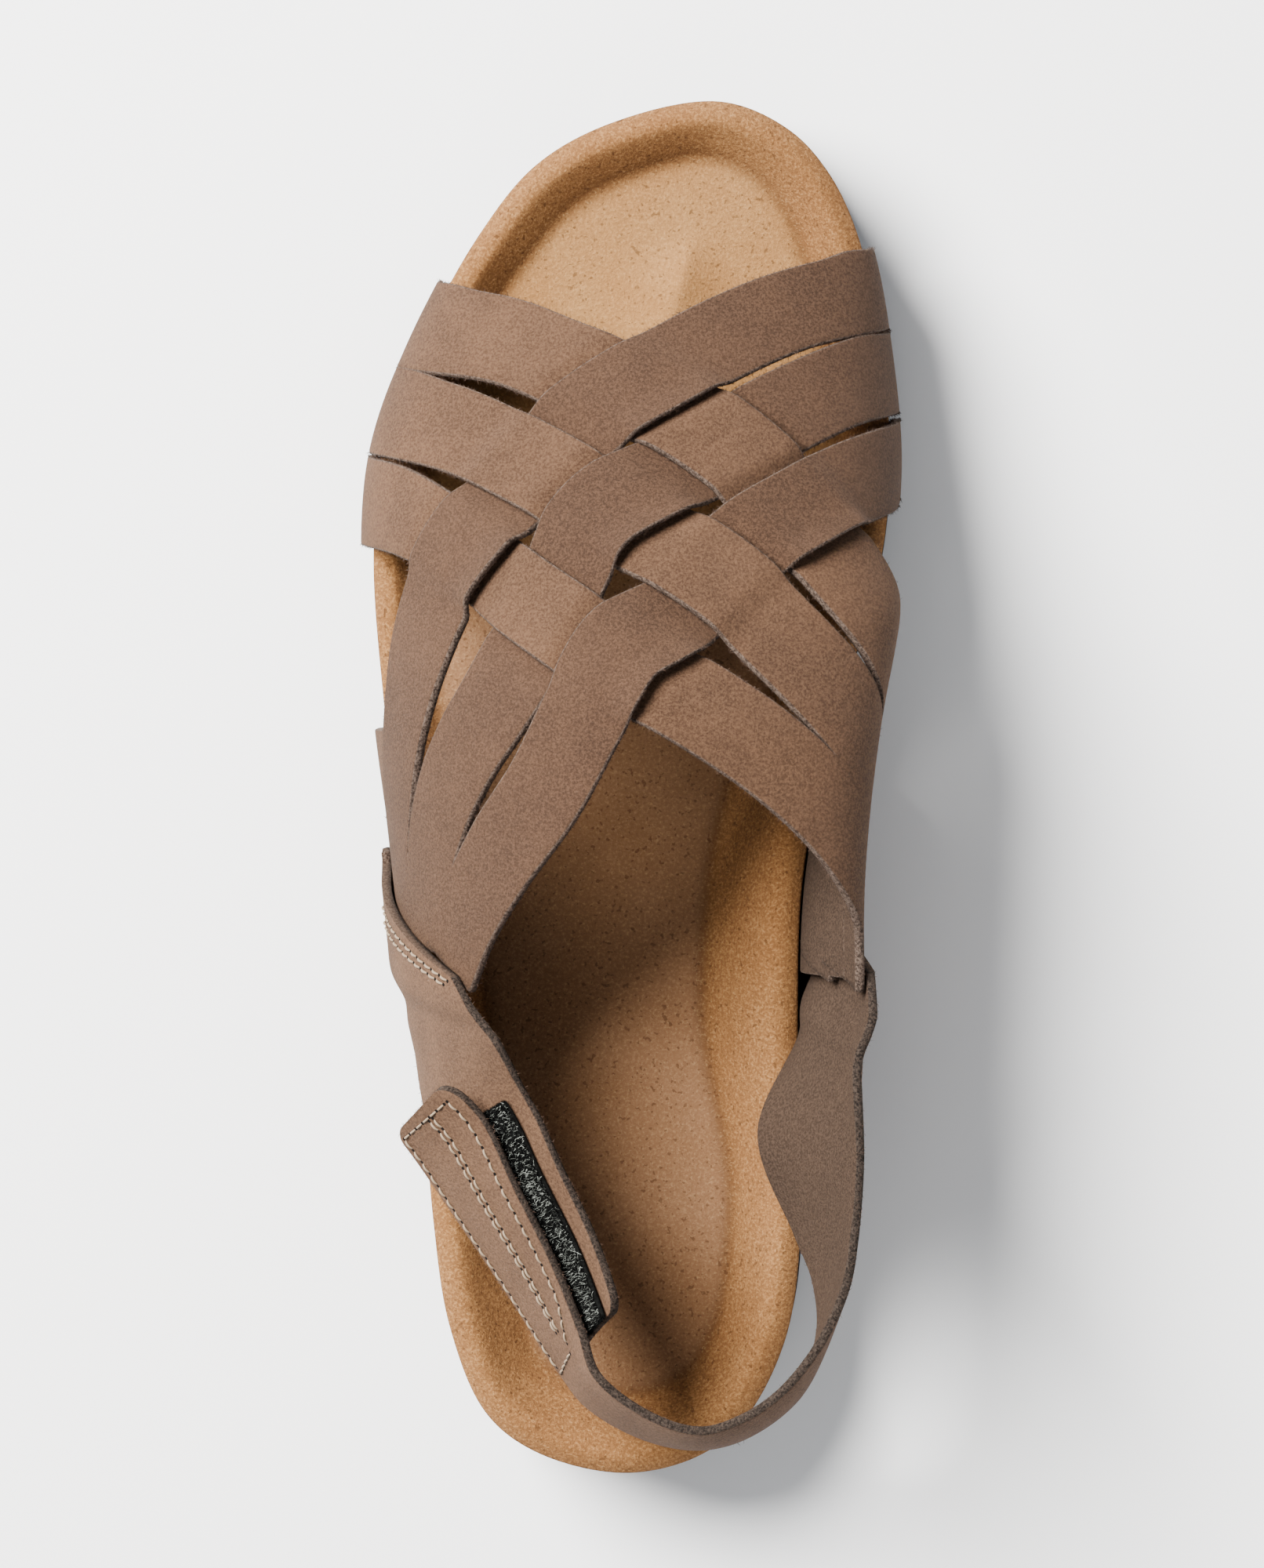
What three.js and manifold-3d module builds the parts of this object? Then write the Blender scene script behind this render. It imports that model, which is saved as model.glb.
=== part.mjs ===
// Flat sandal, left shoe: a woven suede upper on a contoured footbed, closed by a sling strap at the heel.
// Millimetres, +Z up. +Y points to the toes and +X to the inner side of the foot.
import * as THREE from "three";
import { mergeVertices } from "three/addons/utils/BufferGeometryUtils.js";
import Module from "manifold-3d";

const wasm = await Module();
wasm.setup();

// Driving sizes of the footbed and of the foot form above it
const footbedLength = 260;
const ballWidth = 97;
const heelRimHeight = 35;
const instepHeight = 87;

// Sole
const outsoleThickness = 5;
const insoleThickness = 3;
const outsoleBevel = 1.75;
const toeSpring = 7;
const toeCurve = 1.8;
const shankLift = 3;
const rimWidth = 4;
const rimRound = 2;
const toeGripHeight = 2;
const toeGripSpread = 9;

// Leather, tapes and fits
const leather = 2;
const stripWidth = 16.6;
const medialSoleWidth = 15;
const soleTaper = 34;
const weaveLift = 0.85;
const weaveEase = 1.3;
const tapeThickness = 1.2;
const tapeWidth = 15;
const turnRadius = 2.4;
const tuckDepth = 8;
const fitGap = 0.3;
const slotGap = 0.8;
const layerGap = 0.5;

// How far the tongue and its tape stand out above the strap's upper edge
const tapeReveal = 3.6;
const tongueReveal = 7.2;
const cornerRound = 3.5;

// Mesh density
const outlineStations = 32;
const archSteps = 18;
const turnSteps = 3;
const stripColumns = 3;
const tuckColumns = 5;
const stripStep = 8;
const slingStops = 42;
const sheetColumns = 4;
const quarterStops = 26;
const tapeStops = 12;
const rowColumns = 6;
const rowSplits = 3;

// Reach of the differences that a surface's normal is taken from: in millimetres on the foot form, and as
// shares of a surface along and across its rows
const probe = 0.6;
const alongProbe = 0.004;
const acrossProbe = 0.02;

// Outline of the footbed: shares of its length from the heel, and of the ball width from the axis
const outline = [
  { along: 0.0, lateral: 0.02, medial: 0.02 },
  { along: 0.013, lateral: -0.15, medial: 0.16 },
  { along: 0.04, lateral: -0.25, medial: 0.25 },
  { along: 0.1, lateral: -0.325, medial: 0.327 },
  { along: 0.18, lateral: -0.367, medial: 0.35 },
  { along: 0.33, lateral: -0.41, medial: 0.331 },
  { along: 0.44, lateral: -0.45, medial: 0.332 },
  { along: 0.55, lateral: -0.502, medial: 0.382 },
  { along: 0.66, lateral: -0.535, medial: 0.456 },
  { along: 0.74, lateral: -0.525, medial: 0.472 },
  { along: 0.82, lateral: -0.455, medial: 0.448 },
  { along: 0.9, lateral: -0.345, medial: 0.4 },
  { along: 0.95, lateral: -0.24, medial: 0.335 },
  { along: 0.982, lateral: -0.095, medial: 0.25 },
  { along: 1.0, lateral: 0.115, medial: 0.115 },
];

// Heights of rim and floor as shares of the heel rim height.
// Widths of the rim's inner wall as shares of the ball width
const footbed = [
  { along: 0.0, rimLateral: 1.0, rimMedial: 1.0, floor: 0.76, wallLateral: 0.11, wallMedial: 0.11 },
  { along: 0.1, rimLateral: 1.0, rimMedial: 1.0, floor: 0.74, wallLateral: 0.1, wallMedial: 0.1 },
  { along: 0.2, rimLateral: 0.97, rimMedial: 1.02, floor: 0.73, wallLateral: 0.1, wallMedial: 0.1 },
  { along: 0.35, rimLateral: 0.88, rimMedial: 1.02, floor: 0.68, wallLateral: 0.09, wallMedial: 0.15 },
  { along: 0.5, rimLateral: 0.78, rimMedial: 0.94, floor: 0.6, wallLateral: 0.07, wallMedial: 0.14 },
  { along: 0.62, rimLateral: 0.72, rimMedial: 0.8, floor: 0.57, wallLateral: 0.06, wallMedial: 0.08 },
  { along: 0.75, rimLateral: 0.7, rimMedial: 0.74, floor: 0.56, wallLateral: 0.06, wallMedial: 0.065 },
  { along: 0.88, rimLateral: 0.71, rimMedial: 0.73, floor: 0.57, wallLateral: 0.065, wallMedial: 0.075 },
  { along: 1.0, rimLateral: 0.72, rimMedial: 0.72, floor: 0.59, wallLateral: 0.07, wallMedial: 0.07 },
];

// Where the underside touches the ground, as shares of the footbed length
const ground = { heelEnds: 0.3, shankStarts: 0.4, shankEnds: 0.46, ballStarts: 0.58, ballEnds: 0.79 };

// Ridge under the toes, from its front end to its back end
const toeGripLine = { front: { across: 0.085, along: 0.9 }, back: { across: -0.09, along: 0.77 } };

// Crown of the foot form: side shift and medial wall lean as shares of the ball width, rise as a share of the
// height from heel rim to instep, and how much the lateral wall flattens into a slope
const crown = [
  { along: 0.2, across: 0.03, rise: 0.98, lean: 0.15, lateralSlope: 1.8 },
  { along: 0.32, across: 0.03, rise: 1.0, lean: 0.19, lateralSlope: 1.8 },
  { along: 0.42, across: 0.03, rise: 1.0, lean: 0.18, lateralSlope: 1.5 },
  { along: 0.53, across: 0.02, rise: 0.98, lean: 0.16, lateralSlope: 1.25 },
  { along: 0.62, across: 0.01, rise: 0.82, lean: 0.14, lateralSlope: 1.25 },
  { along: 0.7, across: 0.0, rise: 0.62, lean: 0.07, lateralSlope: 1.25 },
  { along: 0.8, across: 0.0, rise: 0.38, lean: 0.02, lateralSlope: 1.25 },
  { along: 0.9, across: 0.02, rise: 0.14, lean: 0.0, lateralSlope: 1.25 },
];
const medialSlope = 1;

// Strips of the two slit pieces, from the sole edge over the crown. down is the girth from the crown line as
// a share of the ball width, lateral side negative. along is a share of the footbed length
const lateralStrips = [
  {
    sole: 0.83,
    path: [
      { down: -0.44, along: 0.825 },
      { down: -0.29, along: 0.817 },
      { down: -0.175, along: 0.803 },
      { down: 0.0, along: 0.779 },
      { down: 0.145, along: 0.749 },
      { down: 0.29, along: 0.706 },
      { down: 0.41, along: 0.66 },
      { down: 0.53, along: 0.615 },
      { down: 0.63, along: 0.57 },
      { down: 0.72, along: 0.51 },
      { down: 0.78, along: 0.45 },
      { down: 0.8, along: 0.385 },
    ],
  },
  {
    sole: 0.768,
    path: [
      { down: -0.51, along: 0.761 },
      { down: -0.375, along: 0.75 },
      { down: -0.245, along: 0.731 },
      { down: -0.125, along: 0.709 },
      { down: 0.06, along: 0.671 },
      { down: 0.18, along: 0.642 },
      { down: 0.27, along: 0.612 },
      { down: 0.39, along: 0.571 },
      { down: 0.485, along: 0.534 },
      { down: 0.57, along: 0.495 },
      { down: 0.65, along: 0.45 },
      { down: 0.7, along: 0.41 },
      { down: 0.73, along: 0.375 },
    ],
  },
  {
    sole: 0.702,
    path: [
      { down: -0.515, along: 0.69 },
      { down: -0.365, along: 0.664 },
      { down: -0.2, along: 0.625 },
      { down: -0.06, along: 0.594 },
      { down: 0.115, along: 0.56 },
      { down: 0.26, along: 0.526 },
      { down: 0.385, along: 0.488 },
      { down: 0.475, along: 0.452 },
      { down: 0.555, along: 0.415 },
      { down: 0.595, along: 0.37 },
    ],
  },
];
const medialStrips = [
  {
    sole: 0.868,
    path: [
      { down: 0.4, along: 0.862 },
      { down: 0.26, along: 0.845 },
      { down: 0.15, along: 0.825 },
      { down: 0.05, along: 0.802 },
      { down: -0.09, along: 0.767 },
      { down: -0.2, along: 0.732 },
      { down: -0.29, along: 0.696 },
      { down: -0.395, along: 0.654 },
      { down: -0.48, along: 0.61 },
      { down: -0.565, along: 0.56 },
      { down: -0.64, along: 0.5 },
      { down: -0.69, along: 0.44 },
      { down: -0.7, along: 0.38 },
    ],
  },
  {
    sole: 0.808,
    path: [
      { down: 0.425, along: 0.798 },
      { down: 0.31, along: 0.779 },
      { down: 0.16, along: 0.748 },
      { down: 0.055, along: 0.724 },
      { down: -0.075, along: 0.692 },
      { down: -0.14, along: 0.655 },
      { down: -0.23, along: 0.593 },
      { down: -0.3, along: 0.557 },
      { down: -0.385, along: 0.52 },
      { down: -0.46, along: 0.482 },
      { down: -0.52, along: 0.44 },
      { down: -0.55, along: 0.38 },
    ],
  },
  {
    sole: 0.745,
    path: [
      { down: 0.44, along: 0.725 },
      { down: 0.3, along: 0.698 },
      { down: 0.17, along: 0.665 },
      { down: 0.065, along: 0.622 },
      { down: -0.03, along: 0.598 },
      { down: -0.095, along: 0.558 },
      { down: -0.19, along: 0.497 },
      { down: -0.305, along: 0.448 },
      { down: -0.4, along: 0.405 },
      { down: -0.465, along: 0.368 },
    ],
  },
];

// Panels that carry the rear of the upper down into the sole. Middle and width are shares of the footbed
// length, top is a share of the girth from crown to rim
const rearTucks = {
  vampLateral: { side: -1, middle: 0.46, width: 0.15, top: 0.78 },
  vampMedial: { side: 1, middle: 0.455, width: 0.16, top: 0.78 },
  quarterLateral: { side: -1, middle: 0.383, width: 0.128, top: 1.08 },
  quarterMedial: { side: 1, middle: 0.39, width: 0.14, top: 1.08 },
};
const tuckThinning = 0.8;

// The quarters lie over the upper as far back as its rear end, whose low and high places are shares of the
// footbed length. Behind it they ease in to rest close to the footbed, that far off the form in mm
const vampRear = { low: 0.375, high: 0.345, ease: 0.035, rest: 0.9 };

// Quarters where they lie over the upper: the lower edge runs below the rim by a share of the heel rim height
const lateralQuarterFront = [
  { lowAlong: 0.449, lowDrop: 0.34, highAlong: 0.362, highDown: -0.415 },
  { lowAlong: 0.4, lowDrop: 0.34, highAlong: 0.342, highDown: -0.375 },
  { lowAlong: 0.32, lowDrop: 0.2, highAlong: 0.316, highDown: -0.325 },
];
const medialQuarterFront = [
  { lowAlong: 0.46, lowDrop: 0.34, highAlong: 0.374, highDown: 0.52 },
  { lowAlong: 0.395, lowDrop: 0.34, highAlong: 0.342, highDown: 0.5 },
  { lowAlong: 0.325, lowDrop: 0.08, highAlong: 0.305, highDown: 0.48 },
];

// Sling strap from the medial quarter round the heel to the tab, each row from the lower to the upper edge:
// across in ball widths, along in footbed lengths, up as a share of the height from heel rim to instep
const slingRows = [
  { low: [0.266, 0.252, 0.12], high: [0.465, 0.242, 0.67], cup: 0.012 },
  { low: [0.345, 0.181, 0.18], high: [0.458, 0.185, 0.68], cup: 0.012 },
  { low: [0.384, 0.149, 0.24], high: [0.443, 0.15, 0.69], cup: 0.012 },
  { low: [0.397, 0.112, 0.29], high: [0.397, 0.11, 0.69], cup: 0.012 },
  { low: [0.361, 0.071, 0.32], high: [0.325, 0.075, 0.69], cup: 0.012 },
  { low: [0.268, 0.04, 0.33], high: [0.253, 0.056, 0.69], cup: 0.01 },
  { low: [0.178, 0.029, 0.33], high: [0.18, 0.047, 0.69], cup: 0.008 },
  { low: [0.072, 0.034, 0.33], high: [0.088, 0.055, 0.68], cup: 0.006 },
  { low: [-0.041, 0.055, 0.32], high: [-0.021, 0.083, 0.66], cup: 0.004 },
  { low: [-0.103, 0.081, 0.3], high: [-0.055, 0.115, 0.64], cup: 0.004 },
  { low: [-0.206, 0.135, 0.295], high: [-0.113, 0.163, 0.62], cup: 0.006 },
  { low: [-0.314, 0.19, 0.295], high: [-0.186, 0.213, 0.61], cup: 0.008 },
  { low: [-0.392, 0.229, 0.295], high: [-0.258, 0.263, 0.6], cup: 0.01 },
  { low: [-0.429, 0.246, 0.295], high: [-0.33, 0.288, 0.6], cup: 0.01 },
];
const tongueTipRow = 9;
const tabEndRow = 13;

const ruleOf = (values) => (t) => {
  const last = values.length - 1;
  const here = Math.min(Math.max(t, values[0][0]), values[last][0]);
  const next = values.findIndex((value) => value[0] > here);
  const i = next === -1 ? last - 1 : next - 1;
  const slope = (k) => (values[k + 1][1] - values[k][1]) / (values[k + 1][0] - values[k][0]);
  const tangent = (k) => {
    if (k === 0) return slope(0);
    if (k === last) return slope(last - 1);
    const product = slope(k - 1) * slope(k);
    return product <= 0 ? 0 : (2 * product) / (slope(k - 1) + slope(k));
  };
  const span = values[i + 1][0] - values[i][0];
  const u = (here - values[i][0]) / span;
  const ends = values[i][1] * (1 + 2 * u) * (1 - u) ** 2 + values[i + 1][1] * u * u * (3 - 2 * u);
  return ends + span * (tangent(i) * u * (1 - u) ** 2 - tangent(i + 1) * u * u * (1 - u));
};

// One smooth curve per named column of a table
function columnsOf(table) {
  const names = Object.keys(table[0]).filter((name) => name !== "along");
  return Object.fromEntries(names.map((name) => [name, ruleOf(table.map((row) => [row.along, row[name]]))]));
}

const footbedAt = columnsOf(footbed);
const crownAt = columnsOf(crown);
const smooth = (t) => THREE.MathUtils.smoothstep(t, 0, 1);

// Footbed outline as a closed curve, read back as a width on each side
const outlineCurve = new THREE.CatmullRomCurve3(
  [
    ...outline.map((row) => [row.medial, row.along]),
    ...outline.slice(1, -1).reverse().map((row) => [row.lateral, row.along]),
  ].map(([across, along]) => new THREE.Vector3(across * ballWidth, along * footbedLength, 0)),
  true,
  "centripetal",
);
const outlinePoints = outlineCurve.getPoints(outline.length * 16);
const heelEnd = outlinePoints.reduce((a, b) => (b.y < a.y ? b : a));
const toeEnd = outlinePoints.reduce((a, b) => (b.y > a.y ? b : a));

function edgeAcross(along, side) {
  const y = THREE.MathUtils.clamp(along * footbedLength, heelEnd.y, toeEnd.y);
  let best = y < footbedLength / 2 ? heelEnd.x : toeEnd.x;
  for (let i = 0; i < outlinePoints.length - 1; i++) {
    const a = outlinePoints[i];
    const b = outlinePoints[i + 1];
    if ((a.y - y) * (b.y - y) > 0 || a.y === b.y) continue;
    const x = THREE.MathUtils.lerp(a.x, b.x, (y - a.y) / (b.y - a.y));
    if (x * side > best * side) best = x;
  }
  return best;
}

// Underside of the sole: flat heel, raised shank, flat ball and toe spring
function groundClearance(along) {
  const { heelEnds, shankStarts, shankEnds, ballStarts, ballEnds } = ground;
  const rising = smooth((along - heelEnds) / (shankStarts - heelEnds));
  const falling = smooth((along - shankEnds) / (ballStarts - shankEnds));
  const toe = Math.max(0, (along - ballEnds) / (1 - ballEnds));
  return shankLift * rising * (1 - falling) + toeSpring * toe ** toeCurve;
}

const outsoleTop = (along) => groundClearance(along) + outsoleThickness;
const rimShare = (along, side) => (side < 0 ? footbedAt.rimLateral(along) : footbedAt.rimMedial(along));
const rimHeight = (along, side) => groundClearance(along) + heelRimHeight * rimShare(along, side);

// Low ridge that the toes grip, running back under the strips
function toeGrip(x, y) {
  const placedAt = ({ across, along }) => new THREE.Vector2(across * ballWidth, along * footbedLength);
  const front = placedAt(toeGripLine.front);
  const back = placedAt(toeGripLine.back);
  const spine = back.clone().sub(front);
  const here = new THREE.Vector2(x, y).sub(front);
  const share = THREE.MathUtils.clamp(here.dot(spine) / spine.lengthSq(), 0, 1);
  const distance = here.sub(spine.multiplyScalar(share)).length();
  return toeGripHeight * Math.exp(-((distance / toeGripSpread) ** 2));
}

// Top of the footbed at a point inset from the edge
function footbedTop(station, inset, point) {
  const along = station.y / footbedLength;
  const rim = rimHeight(along, station.side);
  const wall = ballWidth * (station.side < 0 ? footbedAt.wallLateral(along) : footbedAt.wallMedial(along));
  const floorAlong = point.y / footbedLength;
  const flatFloor = groundClearance(floorAlong) + heelRimHeight * footbedAt.floor(floorAlong);
  const floor = flatFloor + toeGrip(point.x, point.y);
  const shoulder = rim - rimRound * Math.max(0, 1 - inset / rimWidth) ** 2;
  return THREE.MathUtils.lerp(shoulder, floor, smooth((inset - rimWidth) / wall));
}

// Stations round the outline, each with the point of the spine that it faces
function outlineLoop() {
  const spineFrom = 0.14;
  const spineTo = 0.84;
  const stations = [];
  for (let i = 0; i < 2 * outlineStations; i++) {
    const side = i <= outlineStations ? 1 : -1;
    const k = i <= outlineStations ? i : 2 * outlineStations - i;
    const share = (1 - Math.cos((Math.PI * k) / outlineStations)) / 2;
    const y = THREE.MathUtils.lerp(heelEnd.y, toeEnd.y, share);
    const spineAlong = THREE.MathUtils.clamp(y / footbedLength, spineFrom, spineTo);
    const middle = (edgeAcross(spineAlong, 1) + edgeAcross(spineAlong, -1)) / 2;
    const x = k === 0 ? heelEnd.x : k === outlineStations ? toeEnd.x : edgeAcross(y / footbedLength, side);
    const spine = new THREE.Vector2(middle, spineAlong * footbedLength);
    const edge = new THREE.Vector2(x, y);
    stations.push({ side, y, edge, spine, reach: spine.distanceTo(edge) });
  }
  return stations;
}

const stations = outlineLoop();

function finish(positions, index, weld = 1e-3) {
  let geometry = new THREE.BufferGeometry();
  geometry.setAttribute("position", new THREE.Float32BufferAttribute(positions, 3));
  geometry.setIndex(index);
  geometry = mergeVertices(geometry, weld);
  const whole = [];
  const ids = geometry.index.array;
  for (let i = 0; i < ids.length; i += 3) {
    const [a, b, c] = [ids[i], ids[i + 1], ids[i + 2]];
    if (a !== b && b !== c && c !== a) whole.push(a, b, c);
  }
  geometry.setIndex(whole);
  if (signedVolume(geometry) < 0) geometry.setIndex(whole.reverse());
  return geometry;
}

function signedVolume(geometry) {
  const p = geometry.attributes.position;
  const ids = geometry.index.array;
  const [a, b, c] = [new THREE.Vector3(), new THREE.Vector3(), new THREE.Vector3()];
  let sum = 0;
  for (let i = 0; i < ids.length; i += 3) {
    a.fromBufferAttribute(p, ids[i]);
    b.fromBufferAttribute(p, ids[i + 1]);
    c.fromBufferAttribute(p, ids[i + 2]);
    sum += a.dot(b.cross(c)) / 6;
  }
  return sum;
}

// Closed body of rings round the outline. Each ring gives its inset from the edge and its height. Every quad
// is split from its outer corner, so that two bodies with the same rings nest with an even gap
function ringBody(rings) {
  const count = stations.length;
  const positions = [];
  const index = [];
  for (const ring of rings) {
    for (const station of stations) {
      const inset = Math.min(ring.inset(station), station.reach);
      const point = station.edge.clone().lerp(station.spine, inset / station.reach);
      positions.push(point.x, point.y, ring.height(station, inset, point));
    }
  }
  for (let r = 0; r < rings.length - 1; r++) {
    for (let i = 0; i < count; i++) {
      const a = r * count + i;
      const b = r * count + ((i + 1) % count);
      if (rings[r].inset(stations[i]) <= rings[r + 1].inset(stations[i])) {
        index.push(a, b, b + count, a, b + count, a + count);
      } else {
        index.push(a, b, a + count, b, b + count, a + count);
      }
    }
  }
  return finish(positions, index);
}

const wallWidth = (station) =>
  ballWidth * (station.side < 0 ? footbedAt.wallLateral : footbedAt.wallMedial)(station.y / footbedLength);
const toSpine = (station) => station.reach;
const topInsets = [
  () => 0,
  () => rimWidth / 3,
  () => rimWidth,
  (station) => rimWidth + wallWidth(station) / 3,
  (station) => rimWidth + (2 * wallWidth(station)) / 3,
  (station) => rimWidth + wallWidth(station),
  (station) => (rimWidth + wallWidth(station) + station.reach) / 2,
  toSpine,
];

function outsole() {
  const under = (station, inset, point) => groundClearance(point.y / footbedLength);
  const over = (station, inset, point) => outsoleTop(point.y / footbedLength);
  return ringBody([
    { inset: toSpine, height: under },
    { inset: (station) => station.reach / 2, height: under },
    { inset: () => outsoleBevel, height: under },
    { inset: () => 0, height: (station, inset, point) => under(station, inset, point) + outsoleBevel },
    { inset: () => 0, height: over },
    { inset: (station) => station.reach / 2, height: over },
    { inset: toSpine, height: over },
  ]);
}

function midsole() {
  const under = (station, inset, point) => outsoleTop(point.y / footbedLength) + fitGap;
  const over = (station, inset, point) => footbedTop(station, inset, point) - insoleThickness - fitGap;
  return ringBody([
    { inset: toSpine, height: under },
    { inset: (station) => station.reach / 2, height: under },
    { inset: () => 0, height: under },
    ...topInsets.map((inset) => ({ inset, height: over })),
  ]);
}

function insole() {
  const under = (station, inset, point) => footbedTop(station, inset, point) - insoleThickness;
  return ringBody([
    ...topInsets.map((inset) => ({ inset, height: under })).reverse(),
    ...topInsets.map((inset) => ({ inset, height: footbedTop })),
  ]);
}

// Cross-section of the foot form on one side: from the crown down to the rim, down the side of the footbed
// and in under it. The upper's middle layer lies on it
function section(along, side) {
  const edge = edgeAcross(along, side) + side * (fitGap + leather / 2);
  const rim = rimHeight(along, side);
  const top = heelRimHeight + crownAt.rise(along) * (instepHeight - heelRimHeight);
  const middle = crownAt.across(along) * ballWidth;
  const lean = side > 0 ? crownAt.lean(along) * ballWidth : 0;
  const slope = side < 0 ? crownAt.lateralSlope(along) : medialSlope;
  const points = [];
  for (let k = 0; k <= archSteps; k++) {
    const angle = ((Math.PI / 2) * k) / archSteps;
    const across = middle + (edge - middle) * Math.sin(angle) ** slope + lean * Math.sin(2 * angle) ** 2;
    points.push(new THREE.Vector2(across, rim + (top - rim) * Math.cos(angle)));
  }
  const tuck = tuckHeight(along);
  for (let k = 0; k <= turnSteps; k++) {
    const angle = ((Math.PI / 2) * k) / turnSteps;
    const inward = side * turnRadius * (1 - Math.cos(angle));
    points.push(new THREE.Vector2(edge - inward, tuck + turnRadius * (1 - Math.sin(angle))));
  }
  points.push(new THREE.Vector2(edge - side * (turnRadius + tuckDepth), tuck));
  return points;
}

// The upper turns in above the quarters' own turned edge
const tuckHeight = (along) => outsoleTop(along) + 2 * fitGap + 1.5 * leather;

const lengthOf = (points) => points.slice(1).reduce((sum, point, i) => sum + point.distanceTo(points[i]), 0);
const girth = (along, side) => lengthOf(section(along, side).slice(0, archSteps + 1));
const fullGirth = (along, side) => lengthOf(section(along, side));

// Point of the foot form at a girth from the crown line, in millimetres
function lastPoint(down, along) {
  const side = down < 0 ? -1 : 1;
  const points = section(along, side);
  let rest = Math.abs(down);
  for (let i = 0; i < points.length - 1; i++) {
    const step = points[i].distanceTo(points[i + 1]);
    if (rest <= step || i === points.length - 2) {
      const here = points[i].clone().lerp(points[i + 1], rest / step);
      return new THREE.Vector3(here.x, along * footbedLength, here.y);
    }
    rest -= step;
  }
}

function normalOf(surface, a, b, stepA, stepB) {
  const alongA = surface(a + stepA, b).sub(surface(a - stepA, b));
  const alongB = surface(a, b + stepB).sub(surface(a, b - stepB));
  return alongA.cross(alongB).normalize();
}

const lastNormal = (down, along) => normalOf(lastPoint, down, along, probe, probe / footbedLength);

function onLast(down, along, offset) {
  return lastPoint(down, along).addScaledVector(lastNormal(down, along), offset);
}

// Closed sheet from the middle layer's rows of { point, normal } and a thickness
function thickSheet(rows, thickness) {
  const columns = rows[0].length;
  const positions = [];
  for (const sign of [1, -1]) {
    for (const row of rows) {
      for (const { point, normal } of row) {
        positions.push(...point.clone().addScaledVector(normal, (sign * thickness) / 2).toArray());
      }
    }
  }
  const back = rows.length * columns;
  const index = [];
  const quad = (a, b, c, d) => index.push(a, b, c, a, c, d);
  for (let r = 0; r < rows.length - 1; r++) {
    for (let c = 0; c < columns - 1; c++) {
      const a = r * columns + c;
      quad(a, a + 1, a + 1 + columns, a + columns);
      quad(back + a, back + a + columns, back + a + columns + 1, back + a + 1);
    }
    const left = r * columns;
    const right = left + columns - 1;
    quad(left, left + columns, back + left + columns, back + left);
    quad(right, back + right, back + right + columns, right + columns);
  }
  for (let c = 0; c < columns - 1; c++) {
    const end = (rows.length - 1) * columns + c;
    quad(c, back + c, back + c + 1, c + 1);
    quad(end, end + 1, back + end + 1, back + end);
  }
  return finish(positions, index);
}

// Path of a strip in girth and length, both in millimetres: sole tuck, side of the footbed, then the crown
function stripPath(strip, side) {
  const rim = girth(strip.sole, side);
  const full = fullGirth(strip.sole, side);
  const y = strip.sole * footbedLength;
  const crownPath = new THREE.CatmullRomCurve3(
    [
      new THREE.Vector3(side * rim, y, 0),
      ...strip.path.map((row) => new THREE.Vector3(row.down * ballWidth, row.along * footbedLength, 0)),
    ],
    false,
    "centripetal",
  );
  const turn = full - tuckDepth;
  const quarterTurn = (turnRadius * Math.PI) / 2;
  const start = [full, turn, turn - quarterTurn / 2, turn - quarterTurn, (rim + turn - quarterTurn) / 2];
  const steps = Math.ceil(crownPath.getLength() / stripStep);
  return [...start.map((down) => new THREE.Vector3(side * down, y, 0)), ...crownPath.getSpacedPoints(steps)];
}

// Where two strip paths cross, as a distance along the first
function crossingOf(path, other) {
  let walked = 0;
  for (let i = 0; i < path.length - 1; i++) {
    const d = path[i + 1].clone().sub(path[i]);
    for (let j = 0; j < other.length - 1; j++) {
      const e = other[j + 1].clone().sub(other[j]);
      const gap = other[j].clone().sub(path[i]);
      const turn = d.x * e.y - d.y * e.x;
      const u = (gap.x * e.y - gap.y * e.x) / turn;
      const v = (gap.x * d.y - gap.y * d.x) / turn;
      if (turn !== 0 && u >= 0 && u < 1 && v >= 0 && v < 1) return walked + u * d.length();
    }
    walked += d.length();
  }
  return null;
}

// Rise of a strip over and under the strips that it crosses
function weaveOf(path, ownIndex, others) {
  const total = path.slice(1).reduce((sum, point, i) => sum + point.distanceTo(path[i]), 0);
  const knots = others
    .map((other, j) => [crossingOf(path, other), ((ownIndex + j) % 2 === 0) === (path[0].x > 0) ? 1 : -1])
    .filter(([at]) => at !== null)
    .sort((a, b) => a[0] - b[0]);
  const ease = weaveEase * stripWidth;
  const ends = [
    [0, 0],
    [Math.max(1, knots[0][0] - ease), 0],
    ...knots,
    [Math.min(total - 1, knots.at(-1)[0] + ease), 0],
    [total, 0],
  ];
  return (walked) => {
    const i = Math.max(0, Math.min(ends.length - 2, ends.findLastIndex((knot) => knot[0] <= walked)));
    const [from, low] = ends[i];
    const [to, high] = ends[i + 1];
    return THREE.MathUtils.lerp(low, high, smooth((walked - from) / (to - from)));
  };
}

// The rim follows the outline, so a strip's edges keep their own girth where they near it
const rimPull = { from: 0.55, full: 0.9 };

function followRim(down, along, ownAlong, side) {
  const own = girth(ownAlong, side);
  const near = smooth((Math.abs(down) / own - rimPull.from) / (rimPull.full - rimPull.from));
  return down + side * near * (girth(along, side) - own);
}

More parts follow.
